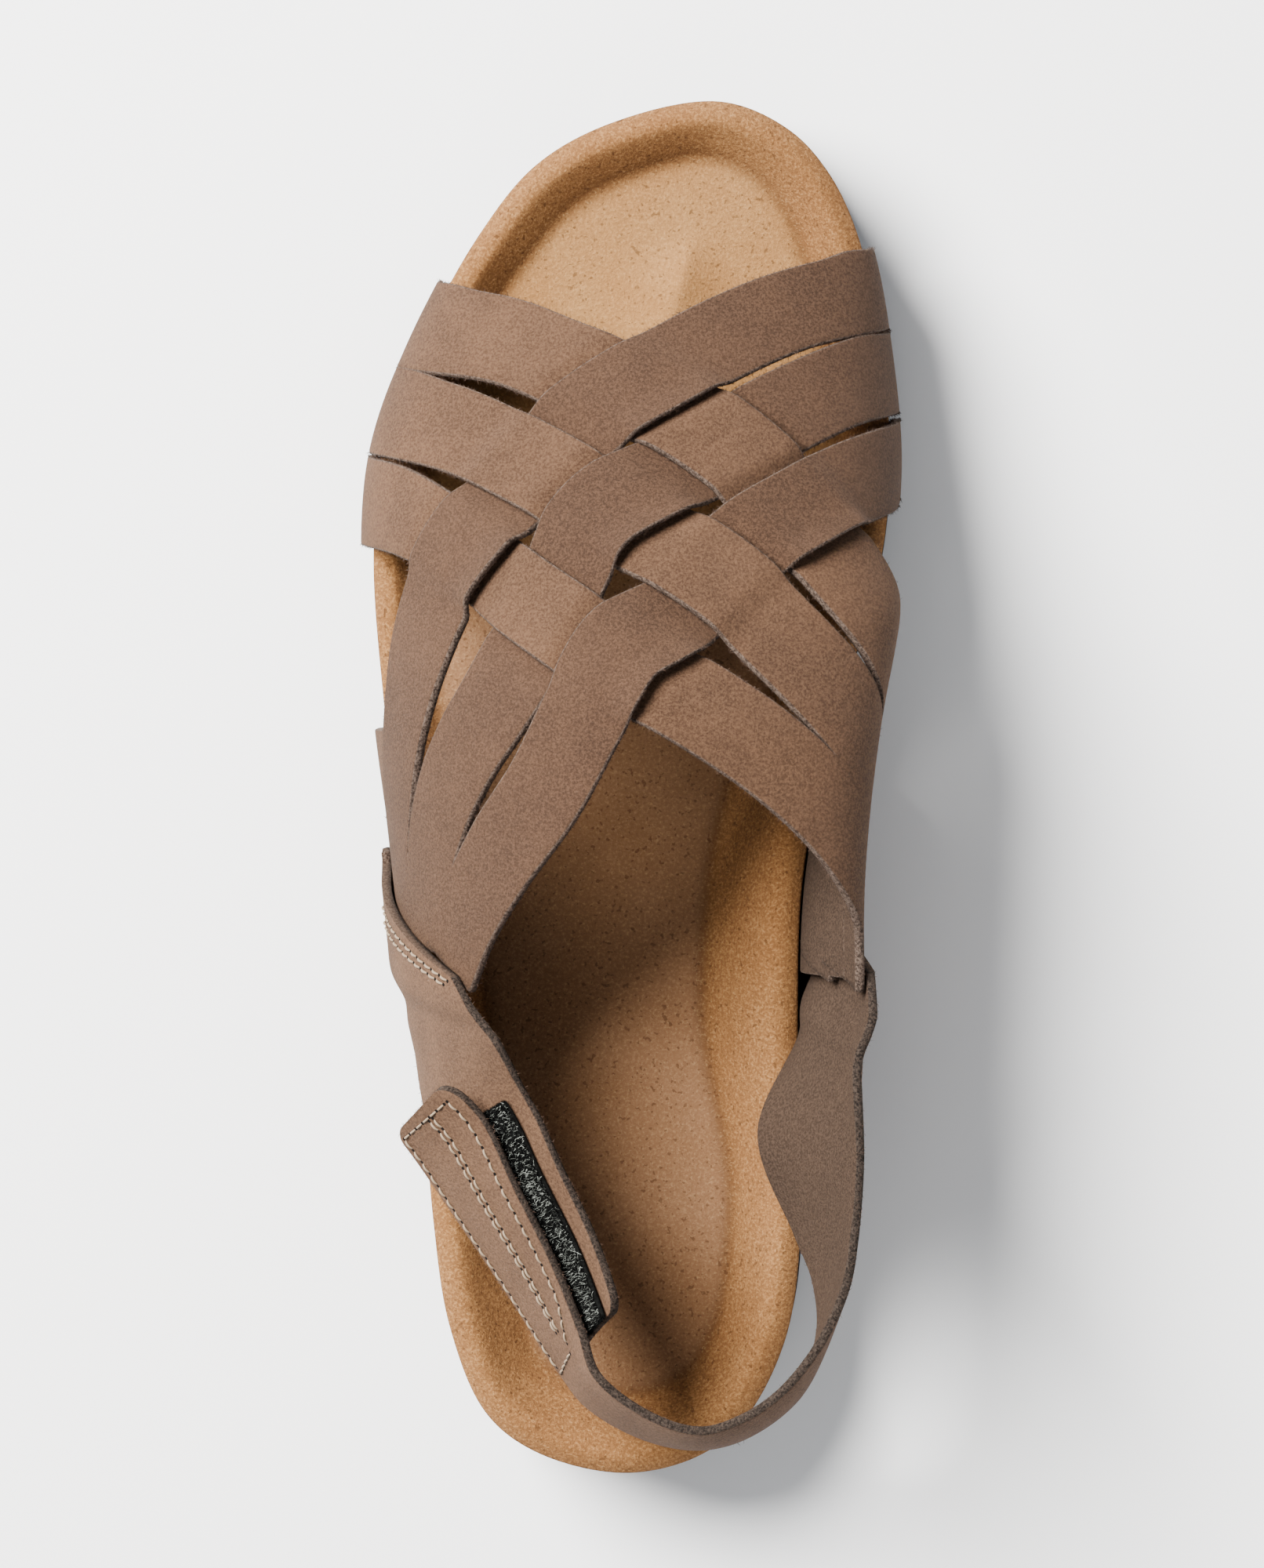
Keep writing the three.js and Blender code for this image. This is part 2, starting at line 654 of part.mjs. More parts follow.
// The strips of the medial side are narrower where they leave the sole
function widthOf(path, side) {
  if (side < 0) return () => stripWidth;
  const from = path.findIndex((here) => Math.abs(here.x) <= girth(here.y / footbedLength, side));
  const before = path.slice(1, from + 1).reduce((sum, point, i) => sum + point.distanceTo(path[i]), 0);
  return (walked) => THREE.MathUtils.lerp(medialSoleWidth, stripWidth, smooth((walked - before) / soleTaper));
}

function stripBody(path, weave, side, widthAt, thickness, columns = stripColumns, baseAt = () => 0) {
  let walked = 0;
  const rows = path.map((here, i) => {
    if (i > 0) walked += here.distanceTo(path[i - 1]);
    const ahead = path[Math.min(i + 1, path.length - 1)].clone().sub(path[Math.max(i - 1, 0)]).normalize();
    const rise = weaveLift * weave(walked);
    const width = widthAt(walked);
    const row = [];
    for (let c = 0; c <= columns; c++) {
      const shift = width * (c / columns - 0.5);
      const along = (here.y + ahead.x * shift) / footbedLength;
      let down = here.x - ahead.y * shift;
      if (Math.sign(here.x) === side) down = followRim(down, along, here.y / footbedLength, side);
      const normal = lastNormal(down, along);
      row.push({ point: lastPoint(down, along).addScaledVector(normal, rise + baseAt(along)), normal });
    }
    return row;
  });
  return thickSheet(rows, thickness);
}

// A panel that runs straight down from the upper into the sole
function tuckBody(tuck, thickness, grow, baseAt) {
  const full = fullGirth(tuck.middle, tuck.side) + grow;
  const top = girth(tuck.middle, tuck.side) * tuck.top;
  const turn = full - grow - tuckDepth;
  const straight = turn - (turnRadius * Math.PI) / 2;
  const downs = [full, turn, (turn + straight) / 2, straight, THREE.MathUtils.lerp(straight, top, 0.5), top];
  const path = downs.map((down) => new THREE.Vector3(tuck.side * down, tuck.middle * footbedLength, 0));
  const width = tuck.width * footbedLength + 2 * grow;
  return stripBody(path, () => 0, tuck.side, () => width, thickness, tuckColumns, baseAt);
}

const toSolid = (geometry) =>
  new wasm.Manifold(
    new wasm.Mesh({
      numProp: 3,
      vertProperties: new Float32Array(geometry.attributes.position.array),
      triVerts: new Uint32Array(geometry.index.array),
    }),
  );

function toGeometry(solid) {
  const mesh = solid.getMesh();
  return finish(Array.from(mesh.vertProperties), Array.from(mesh.triVerts));
}

// The cut leaves crumbs between neighbouring slots, which go
const mainBody = (solid) => solid.decompose().reduce((a, b) => (b.volume() > a.volume() ? b : a));

const joined = (geometries) => geometries.map(toSolid).reduce((a, b) => a.add(b));

const lateralPaths = lateralStrips.map((strip) => stripPath(strip, -1));
const medialPaths = medialStrips.map((strip) => stripPath(strip, 1));

// A path carried on past both of its ends
function lengthened(path, grow) {
  const beyond = (end, before) => end.clone().add(end.clone().sub(before).setLength(grow));
  return [beyond(path[0], path[1]), ...path, beyond(path.at(-1), path.at(-2))];
}

function vampBodies(grow) {
  const thickness = leather + 2 * grow;
  const own = (paths, others, side) =>
    paths.map((path, i) => {
      const weave = weaveOf(path, i, others);
      const width = widthOf(path, side);
      const grown = (walked) => width(walked) + 2 * grow;
      return stripBody(grow > 0 ? lengthened(path, grow) : path, weave, side, grown, thickness);
    });
  const tucks = [rearTucks.vampLateral, rearTucks.vampMedial];
  return [
    ...own(lateralPaths, medialPaths, -1),
    ...own(medialPaths, lateralPaths, 1),
    ...tucks.map((tuck) => tuckBody(tuck, tuckThinning * leather + 2 * grow, grow)),
  ];
}

// Rows of points become a smooth surface: a runs along the rows, b across them, both from 0 to 1
function surfaceThrough(rows) {
  const lineOf = (_, c) => new THREE.CatmullRomCurve3(rows.map((row) => row[c]), false, "centripetal");
  const lines = rows[0].map(lineOf);
  return (a, b) => {
    const share = THREE.MathUtils.clamp(a, 0, 1);
    const across = new THREE.CatmullRomCurve3(lines.map((line) => line.getPoint(share)));
    const inside = THREE.MathUtils.clamp(b, 0, 1);
    const edge = across.getPoint(inside);
    if (b === inside) return edge;
    const step = 2 * acrossProbe * Math.sign(b - inside);
    const outward = edge.clone().sub(across.getPoint(inside - step));
    return edge.clone().addScaledVector(outward, (b - inside) / step);
  };
}

// Height of a quarter's middle layer over the upper's, at a share of the way from its low to its high edge
function overVamp(along, share) {
  const rear = THREE.MathUtils.lerp(vampRear.low, vampRear.high, share);
  const eased = smooth((along - rear + vampRear.ease) / vampRear.ease);
  return THREE.MathUtils.lerp(vampRear.rest, leather + fitGap, eased);
}

// Rows on the foot form, with more of them between each two of the table
function rowsOnLast(table, side) {
  const rows = [];
  for (let i = 0; i < table.length - 1; i++) {
    for (let k = 0; k < rowSplits; k++) {
      const blend = (name) => THREE.MathUtils.lerp(table[i][name], table[i + 1][name], k / rowSplits);
      const names = Object.keys(table[i]);
      rows.push(rowOnLast(Object.fromEntries(names.map((name) => [name, blend(name)])), side));
    }
  }
  return [...rows, rowOnLast(table.at(-1), side)];
}

function rowOnLast(row, side) {
  const lowDown = side * (girth(row.lowAlong, side) + row.lowDrop * heelRimHeight);
  const points = [];
  for (let c = 0; c <= rowColumns; c++) {
    const share = c / rowColumns;
    const along = THREE.MathUtils.lerp(row.lowAlong, row.highAlong, share);
    const down = THREE.MathUtils.lerp(lowDown, row.highDown * ballWidth, share);
    points.push(onLast(down, along, overVamp(along, share)));
  }
  return points;
}

const placed = ([across, along, up]) =>
  new THREE.Vector3(
    across * ballWidth,
    along * footbedLength,
    heelRimHeight + up * (instepHeight - heelRimHeight),
  );

function freeRow(row, ahead) {
  const low = placed(row.low);
  const high = placed(row.high);
  const outward = high.clone().sub(low).cross(ahead).normalize();
  const points = [];
  for (let c = 0; c <= rowColumns; c++) {
    const share = c / rowColumns;
    const cup = row.cup * ballWidth * 4 * share * (1 - share);
    points.push(low.clone().lerp(high, share).addScaledVector(outward, cup));
  }
  return points;
}

const medialRows = rowsOnLast(medialQuarterFront, 1);
const freeRows = slingRows.map((row, i) => {
  const before = placed(slingRows[Math.max(i - 1, 0)].high);
  const after = placed(slingRows[Math.min(i + 1, slingRows.length - 1)].high);
  return freeRow(row, after.sub(before));
});
const slingSurface = surfaceThrough([...medialRows, ...freeRows]);
const slingCount = medialRows.length + freeRows.length - 1;
const slingAt = (row) => (medialRows.length + row) / slingCount;

// Layers under the tab, counted inward from the strap
const hookTapeInset = leather / 2 + fitGap + tapeThickness / 2;
const loopTapeInset = hookTapeInset + tapeThickness + fitGap;
const tongueInset = loopTapeInset + tapeThickness / 2 + fitGap + leather / 2;
const slingWidthAt = (a) => slingSurface(a, 1).distanceTo(slingSurface(a, 0));
const slingNormal = (a, b) => normalOf(slingSurface, a, b, alongProbe, acrossProbe).negate();
const underSling = (a, b, inset) => slingSurface(a, b).addScaledVector(slingNormal(a, b), -inset);

// Sheet on a surface between rows a, with limits giving the span across at each row
function sheetOn(surface, normalAt, stops, limits, columns, thickness, offset = 0) {
  const rows = stops.map((a) => {
    const [from, to] = limits(a);
    const row = [];
    for (let c = 0; c <= columns; c++) {
      const b = THREE.MathUtils.lerp(from, to, c / columns);
      const normal = normalAt(a, b);
      row.push({ point: surface(a, b).addScaledVector(normal, offset), normal });
    }
    return row;
  });
  return thickSheet(rows, thickness);
}

// Stops from one end to the other, with extra ones where an end is rounded
function stopsBetween(from, to, count, round) {
  const inner = Array.from({ length: count + 1 }, (_, i) => THREE.MathUtils.lerp(from, to, i / count));
  const turn = round * Math.sign(to - from);
  const rounded = [to - turn, to - turn / 3, to];
  return [...inner.filter((a) => (to - turn - a) * turn > 0), ...rounded];
}

// Cuts the corners of a span as it nears an end
function roundedSpan(from, to, end, round, corner) {
  return (a) => {
    const near = THREE.MathUtils.clamp(1 - Math.abs(end - a) / round, 0, 1);
    const cut = corner * (1 - Math.sqrt(1 - near * near));
    return [from + cut, to - cut];
  };
}

const lengthShare = (row, length) => {
  const a = slingAt(row);
  const reach = slingSurface(a + alongProbe, 0.5).distanceTo(slingSurface(a - alongProbe, 0.5));
  return (2 * alongProbe * length) / reach;
};

function slingStrap(grow) {
  const end = slingAt(tabEndRow);
  const round = lengthShare(tabEndRow - 1, cornerRound);
  const corner = cornerRound / slingWidthAt(end);
  const wide = grow / slingWidthAt(end);
  const stops = stopsBetween(0, end, slingStops, round);
  const limits = roundedSpan(-wide, 1 + wide, end, round, corner);
  const strap = sheetOn(slingSurface, slingNormal, stops, limits, sheetColumns, leather + 2 * grow);
  const thickness = tuckThinning * leather + 2 * grow;
  const tuck = tuckBody(rearTucks.quarterMedial, thickness, grow, (along) => overVamp(along, 0));
  return [strap, tuck];
}

// Lateral quarter: on the foot form in front, then a tongue behind the tab
const tongueSteps = rowSplits * (tabEndRow - 1 - tongueTipRow);
const tongueRows = Array.from({ length: tongueSteps + 1 }, (_, i) => {
  const a = slingAt(THREE.MathUtils.lerp(tabEndRow - 1, tongueTipRow, i / tongueSteps));
  const reveal = tongueReveal / slingWidthAt(a);
  const points = [];
  for (let c = 0; c <= rowColumns; c++) {
    points.push(underSling(a, (c / rowColumns) * (1 + reveal), tongueInset));
  }
  return points;
});
const lateralRows = rowsOnLast(lateralQuarterFront, -1);
const quarterSurface = surfaceThrough([...lateralRows, ...tongueRows]);
const quarterNormal = (a, b) => normalOf(quarterSurface, a, b, 2 * alongProbe, acrossProbe);

function lateralQuarter(grow) {
  const tip = quarterSurface(1, 0.5).distanceTo(quarterSurface(1 - 2 * acrossProbe, 0.5));
  const round = (2 * acrossProbe * cornerRound) / tip;
  const width = quarterSurface(1, 1).distanceTo(quarterSurface(1, 0));
  const wide = grow / width;
  const stops = stopsBetween(0, 1, quarterStops, round);
  const limits = roundedSpan(-wide, 1 + wide, 1, round, cornerRound / width);
  const quarter = sheetOn(quarterSurface, quarterNormal, stops, limits, sheetColumns, leather + 2 * grow);
  const thickness = tuckThinning * leather + 2 * grow;
  const tuck = tuckBody(rearTucks.quarterLateral, thickness, grow, (along) => overVamp(along, 0));
  return [quarter, tuck];
}

function tape(inset, reveal) {
  const from = slingAt(tongueTipRow);
  const to = slingAt(tabEndRow - 1);
  const limits = (a) => {
    const width = slingWidthAt(a);
    return [1 + (reveal - tapeWidth) / width, 1 + reveal / width];
  };
  const stopAt = (_, i) => THREE.MathUtils.lerp(from, to, i / tapeStops);
  const stops = Array.from({ length: tapeStops + 1 }, stopAt);
  return sheetOn(slingSurface, slingNormal, stops, limits, 2, tapeThickness, -inset);
}

// Finishes
const finishes = {
  darkSole: { color: 0x3f2d24, roughness: 0.8 },
  tanSuede: { color: 0xc69a66, roughness: 0.95 },
  taupeSuede: { color: 0x927768, roughness: 0.97 },
  tapeBlack: { color: 0x262725, roughness: 1 },
};
const materials = Object.fromEntries(
  Object.entries(finishes).map(([name, finish]) => {
    return [name, new THREE.MeshStandardMaterial({ ...finish, metalness: 0 })];
  }),
);

const sandal = new THREE.Group();

function addPiece(name, geometry, material) {
  const mesh = new THREE.Mesh(geometry, material);
  mesh.name = name;
  geometry.computeVertexNormals();
  sandal.add(mesh);
}

const vamp = joined(vampBodies(0));
const vampClear = joined(vampBodies(layerGap));
const lateral = mainBody(joined(lateralQuarter(0)).subtract(vampClear));
const sling = mainBody(joined(slingStrap(0)).subtract(vampClear));
const slots = joined([...vampBodies(slotGap), ...lateralQuarter(slotGap), ...slingStrap(slotGap)]);

addPiece("outsole", outsole(), materials.darkSole);
addPiece("midsole", toGeometry(mainBody(toSolid(midsole()).subtract(slots))), materials.darkSole);
addPiece("insole", insole(), materials.tanSuede);
addPiece("vamp", toGeometry(vamp), materials.taupeSuede);
addPiece("lateral_quarter", toGeometry(lateral), materials.taupeSuede);
addPiece("sling_strap", toGeometry(sling), materials.taupeSuede);
addPiece("loop_tape", tape(loopTapeInset, tapeReveal), materials.tapeBlack);
addPiece("hook_tape", tape(hookTapeInset, -0.5 * tapeReveal), materials.tapeBlack);

// The origin is the middle of the footprint, on the ground
const box = new THREE.Box3().setFromObject(sandal);
const centre = box.getCenter(new THREE.Vector3());
sandal.position.set(-centre.x, -centre.y, -box.min.z);

const group = new THREE.Group();
group.add(sandal);
export default group;
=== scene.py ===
"""Looks of the flat sandal: woven suede upper, contoured footbed, hook-and-loop sling strap."""

import math

import bpy
import numpy as np
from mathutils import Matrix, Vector


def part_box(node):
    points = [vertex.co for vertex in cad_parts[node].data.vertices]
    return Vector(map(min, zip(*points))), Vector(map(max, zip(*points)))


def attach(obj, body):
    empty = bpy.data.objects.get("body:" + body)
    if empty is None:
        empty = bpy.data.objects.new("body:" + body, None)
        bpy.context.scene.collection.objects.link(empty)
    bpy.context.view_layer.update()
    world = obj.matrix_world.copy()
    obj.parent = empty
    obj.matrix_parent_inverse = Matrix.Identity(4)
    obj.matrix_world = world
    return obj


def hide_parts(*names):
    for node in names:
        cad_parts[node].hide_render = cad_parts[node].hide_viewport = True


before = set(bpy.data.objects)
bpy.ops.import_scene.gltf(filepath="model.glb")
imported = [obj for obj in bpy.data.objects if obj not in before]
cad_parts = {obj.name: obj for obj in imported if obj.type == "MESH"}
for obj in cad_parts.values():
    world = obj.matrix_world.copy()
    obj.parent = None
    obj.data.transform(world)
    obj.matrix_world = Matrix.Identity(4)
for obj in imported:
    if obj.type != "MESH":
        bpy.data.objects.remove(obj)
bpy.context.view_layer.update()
MM = 0.001
random = np.random.default_rng(11)

# Driving sizes in millimetres, as in the part
FOOTBED_LENGTH = 260.0
BALL_WIDTH = 97.0
HEEL_RIM_HEIGHT = 35.0
INSTEP_HEIGHT = 87.0
OUTSOLE_THICKNESS = 5.0
TOE_SPRING = 7.0
TOE_SPRING_FROM = 0.79
TOE_SPRING_BEND = 1.8
SHANK_LIFT = 3.0
RIM_WIDTH = 4.0
RIM_ROUND = 2.0
LEATHER = 2.0
STRIP_WIDTH = 16.6
MEDIAL_SOLE_WIDTH = 15.0
SOLE_TAPER = 34.0
TURN_RADIUS = 2.4
TUCK_DEPTH = 6.0
FIT_GAP = 0.3
TAPE_THICKNESS = 1.2
TAPE_WIDTH = 15.0
TAPE_REVEAL = 3.6
TONGUE_REVEAL = 7.2
CORNER_ROUND = 3.5

# The shank as shares of the length: start and length of its rise, start and length of its fall
SHANK = (0.3, 0.1, 0.46, 0.12)

# Rise of a strip where it crosses over another, half the length of the crossing, and the length in which
# the strip passes from over to under
WEAVE_RISE = 1.25
WEAVE_FLAT = 6.0
WEAVE_TURN = 5.6

# The rear edge of a medial strip stands up where it crosses over another: by how much, and in which
# share of the width
CURL_HEIGHT = 1.6
CURL_SHARE = 0.4

# Outline of the footbed: along, lateral edge, medial edge
OUTLINE = [
    (0.0, 0.02, 0.02),
    (0.013, -0.15, 0.16),
    (0.04, -0.25, 0.25),
    (0.1, -0.325, 0.327),
    (0.18, -0.367, 0.35),
    (0.33, -0.41, 0.331),
    (0.44, -0.45, 0.332),
    (0.55, -0.502, 0.382),
    (0.66, -0.535, 0.456),
    (0.74, -0.525, 0.472),
    (0.82, -0.455, 0.448),
    (0.9, -0.345, 0.4),
    (0.95, -0.24, 0.335),
    (0.982, -0.095, 0.25),
    (1.0, 0.115, 0.115),
]

# Along, height of the rim (lateral, medial), height of the floor, width of the wall (lateral, medial)
FOOTBED = [
    (0.0, 1.0, 1.0, 0.76, 0.11, 0.11),
    (0.1, 1.0, 1.0, 0.74, 0.1, 0.1),
    (0.2, 0.97, 1.02, 0.73, 0.1, 0.1),
    (0.35, 0.88, 1.02, 0.68, 0.09, 0.15),
    (0.5, 0.78, 0.94, 0.6, 0.07, 0.14),
    (0.62, 0.72, 0.8, 0.57, 0.06, 0.08),
    (0.75, 0.7, 0.74, 0.56, 0.06, 0.065),
    (0.88, 0.71, 0.73, 0.57, 0.065, 0.075),
    (1.0, 0.72, 0.72, 0.59, 0.07, 0.07),
]

# Along, side shift and rise of the crown, lean of the medial wall, slope of the lateral wall
CROWN = [
    (0.2, 0.03, 0.98, 0.15, 1.8),
    (0.32, 0.03, 1.0, 0.19, 1.8),
    (0.42, 0.03, 1.0, 0.18, 1.5),
    (0.53, 0.02, 0.98, 0.16, 1.25),
    (0.62, 0.01, 0.82, 0.14, 1.25),
    (0.7, 0.0, 0.62, 0.07, 1.25),
    (0.8, 0.0, 0.38, 0.02, 1.25),
    (0.9, 0.02, 0.14, 0.0, 1.25),
]

# Strips from the sole edge over the crown: place at the sole, then (girth from the crown line, along)
LATERAL_STRIPS = [
    (0.83, [(-0.44, 0.825), (-0.29, 0.817), (-0.175, 0.803), (0.0, 0.779), (0.145, 0.749), (0.29, 0.706),
            (0.41, 0.66), (0.53, 0.615), (0.63, 0.57), (0.72, 0.51), (0.78, 0.45), (0.8, 0.385)]),
    (0.768, [(-0.51, 0.761), (-0.375, 0.75), (-0.245, 0.731), (-0.125, 0.709), (0.06, 0.671), (0.18, 0.642),
             (0.27, 0.612), (0.39, 0.571), (0.485, 0.534), (0.57, 0.495), (0.65, 0.45), (0.7, 0.41),
             (0.73, 0.375)]),
    (0.702, [(-0.515, 0.69), (-0.365, 0.664), (-0.2, 0.625), (-0.06, 0.594), (0.115, 0.56), (0.26, 0.526),
             (0.385, 0.488), (0.475, 0.452), (0.555, 0.415), (0.595, 0.37)]),
]
MEDIAL_STRIPS = [
    (0.868, [(0.4, 0.862), (0.26, 0.845), (0.15, 0.825), (0.05, 0.802), (-0.09, 0.767), (-0.2, 0.732),
             (-0.29, 0.696), (-0.395, 0.654), (-0.48, 0.61), (-0.565, 0.56), (-0.64, 0.5), (-0.69, 0.44),
             (-0.7, 0.38)]),
    (0.808, [(0.425, 0.798), (0.31, 0.779), (0.16, 0.748), (0.055, 0.724), (-0.075, 0.692), (-0.14, 0.655),
             (-0.23, 0.593), (-0.3, 0.557), (-0.385, 0.52), (-0.46, 0.482), (-0.52, 0.44), (-0.55, 0.38)]),
    (0.745, [(0.44, 0.725), (0.3, 0.698), (0.17, 0.665), (0.065, 0.622), (-0.03, 0.598), (-0.095, 0.558),
             (-0.19, 0.497), (-0.305, 0.448), (-0.4, 0.405), (-0.465, 0.368)]),
]

# Rear end of the upper under the quarters at its low and high corner, the length in which they ease in
# behind it, and how far they then stand off the foot form in millimetres, which is less than in the part
VAMP_REAR_LOW = 0.375
VAMP_REAR_HIGH = 0.345
EASE_LENGTH = 0.035
QUARTER_REST = -0.2

# Quarters over the upper: low along, drop below the rim, high along, high girth
LATERAL_QUARTER = [(0.449, 0.34, 0.362, -0.415), (0.4, 0.34, 0.342, -0.375), (0.32, 0.2, 0.316, -0.325)]
MEDIAL_QUARTER = [(0.46, 0.34, 0.374, 0.52), (0.395, 0.34, 0.342, 0.5), (0.325, 0.08, 0.305, 0.48)]

# Panels that carry the rear of the upper down into the sole: side, middle and width as shares of the
# footbed's length, top as a share of the girth from crown to rim
TUCKS = {
    "vamp_lateral": (-1, 0.46, 0.15, 0.78),
    "vamp_medial": (1, 0.452, 0.166, 0.7),
    "quarter_lateral": (-1, 0.383, 0.128, 1.08),
    "quarter_medial": (1, 0.39, 0.14, 1.08),
}

# Sling strap: lower edge, upper edge (across, along, up) and how far it cups
SLING = [
    ((0.266, 0.252, 0.12), (0.465, 0.242, 0.67), 0.012),
    ((0.345, 0.181, 0.18), (0.458, 0.185, 0.68), 0.012),
    ((0.384, 0.149, 0.24), (0.443, 0.15, 0.69), 0.012),
    ((0.397, 0.112, 0.29), (0.397, 0.11, 0.69), 0.012),
    ((0.361, 0.071, 0.32), (0.325, 0.075, 0.69), 0.012),
    ((0.268, 0.04, 0.33), (0.253, 0.056, 0.69), 0.01),
    ((0.178, 0.029, 0.33), (0.18, 0.047, 0.69), 0.008),
    ((0.072, 0.034, 0.33), (0.088, 0.055, 0.68), 0.006),
    ((-0.041, 0.055, 0.32), (-0.021, 0.083, 0.66), 0.004),
    ((-0.103, 0.081, 0.3), (-0.055, 0.115, 0.64), 0.004),
    ((-0.206, 0.135, 0.295), (-0.113, 0.163, 0.62), 0.006),
    ((-0.314, 0.19, 0.295), (-0.186, 0.213, 0.61), 0.008),
    ((-0.392, 0.229, 0.295), (-0.258, 0.263, 0.6), 0.01),
    ((-0.429, 0.246, 0.295), (-0.33, 0.288, 0.6), 0.01),
]
TONGUE_TIP_ROW = 9
TAB_END_ROW = 13

# Points in a row of a quarter or the strap, and rows that each row of a quarter's table makes
ROW_POINTS = 7
ROW_SPLITS = 3


def smooth(t):
    t = np.clip(t, 0, 1)
    return t * t * (3 - 2 * t)


def mix(a, b, t):
    return a + (b - a) * t


def unit(v):
    return v / np.maximum(np.linalg.norm(v, axis=-1, keepdims=True), 1e-9)


def rule(places, values):
    """Monotone curve through values at places along the sole."""
    places = np.array(places, float)
    values = np.array(values, float)
    slopes = np.diff(values) / np.diff(places)
    product = slopes[:-1] * slopes[1:]
    total = np.where(product > 0, slopes[:-1] + slopes[1:], 1)
    middle = np.where(product > 0, 2 * product / total, 0)
    tangents = np.concatenate([slopes[:1], middle, slopes[-1:]])

    def at(t):
        t = np.clip(t, places[0], places[-1])
        i = np.clip(np.searchsorted(places, t, side="right") - 1, 0, len(places) - 2)
        span = places[i + 1] - places[i]
        u = (t - places[i]) / span
        ends = values[i] * (1 + 2 * u) * (1 - u) ** 2 + values[i + 1] * u * u * (3 - 2 * u)
        return ends + span * (tangents[i] * u * (1 - u) ** 2 - tangents[i + 1] * u * u * (1 - u))

    return at


def through(points, t, closed=False):
    """Smooth curve through points (count, columns, 3) at shares t (steps, columns)."""
    points = np.asarray(points, float)
    if closed:
        points = np.concatenate([points[-1:], points, points[:2]])
    else:
        points = np.concatenate([2 * points[:1] - points[1:2], points, 2 * points[-1:] - points[-2:-1]])
    spans = len(points) - 3
    gaps = np.sqrt(np.maximum(np.linalg.norm(np.diff(points, axis=0), axis=-1), 1e-6))[..., None]
    s = np.clip(t, 0, 1) * spans
    i = np.minimum(s.astype(int), spans - 1)
    u = (s - i)[..., None]
    column = np.broadcast_to(np.arange(points.shape[1]), i.shape)
    p = [points[i + k, column] for k in range(4)]
    g = [gaps[i + k, column] for k in range(3)]
    first = ((p[1] - p[0]) / g[0] - (p[2] - p[0]) / (g[0] + g[1]) + (p[2] - p[1]) / g[1]) * g[1]
    second = ((p[2] - p[1]) / g[1] - (p[3] - p[1]) / (g[1] + g[2]) + (p[3] - p[2]) / g[2]) * g[1]
    square = -3 * p[1] + 3 * p[2] - 2 * first - second
    cube = 2 * p[1] - 2 * p[2] + first + second
    return p[1] + u * (first + u * (square + u * cube))


def walked(points):
    """Distance along a line of points, from 0 at its first."""
    return np.concatenate([[0.0], np.cumsum(np.linalg.norm(np.diff(points, axis=0), axis=-1))])


def picked(at, far, rows):
    """Rows of numbers given at the distances far, read at other distances."""
    return np.stack([np.interp(at, far, rows[:, k]) for k in range(rows.shape[1])], axis=-1)


def spaced(points, step):
    """The same line with evenly spaced points."""
    points = np.asarray(points, float)
    far = walked(points)
    count = max(2, int(round(far[-1] / step)) + 1)
    return picked(np.linspace(0, far[-1], count), far, points)


def rules(table):
    along, *columns = zip(*table)
    return [rule(along, column) for column in columns]


rim_lateral, rim_medial, floor_share, wall_lateral, wall_medial = rules(FOOTBED)
crown_across, crown_rise, crown_lean, crown_slope = rules(CROWN)

outline_knots = [(row[2], row[0]) for row in OUTLINE] + [(row[1], row[0]) for row in OUTLINE[-2:0:-1]]
outline_knots = np.array([(a * BALL_WIDTH, b * FOOTBED_LENGTH, 0.0) for a, b in outline_knots])
outline_line = through(outline_knots[:, None, :], np.linspace(0, 1, 4000)[:, None], closed=True)[:, 0]
heel_end = outline_line[outline_line[:, 1].argmin()]
toe_end = outline_line[outline_line[:, 1].argmax()]


def edge_table():
    """Width of the footbed on each side, at even steps of its length."""
    places = np.linspace(heel_end[1], toe_end[1], 1200)
    rolled = np.roll(outline_line, -outline_line[:, 1].argmin(), axis=0)
    top = rolled[:, 1].argmax()
    medial = rolled[: top + 1]
    lateral = rolled[top:][::-1]
    return places, *(np.interp(places, edge[:, 1], edge[:, 0]) for edge in (lateral, medial))


edge_places, edges_lateral, edges_medial = edge_table()


def edge_across(along, side):
    y = np.asarray(along) * FOOTBED_LENGTH
    return np.interp(y, edge_places, edges_medial if side > 0 else edges_lateral)


def ground_clearance(along):
    """Height of the sole's under side over the ground, under the shank and the toes."""
    along = np.asarray(along, float)
    start, rise, end, fall = SHANK
    shank = smooth((along - start) / rise) * (1 - smooth((along - end) / fall))
    toe = np.maximum(0, (along - TOE_SPRING_FROM) / (1 - TOE_SPRING_FROM))
    return SHANK_LIFT * shank + TOE_SPRING * toe**TOE_SPRING_BEND


def rim_height(along, side):
    rim = rim_medial if side > 0 else rim_lateral
    return ground_clearance(along) + HEEL_RIM_HEIGHT * rim(along)


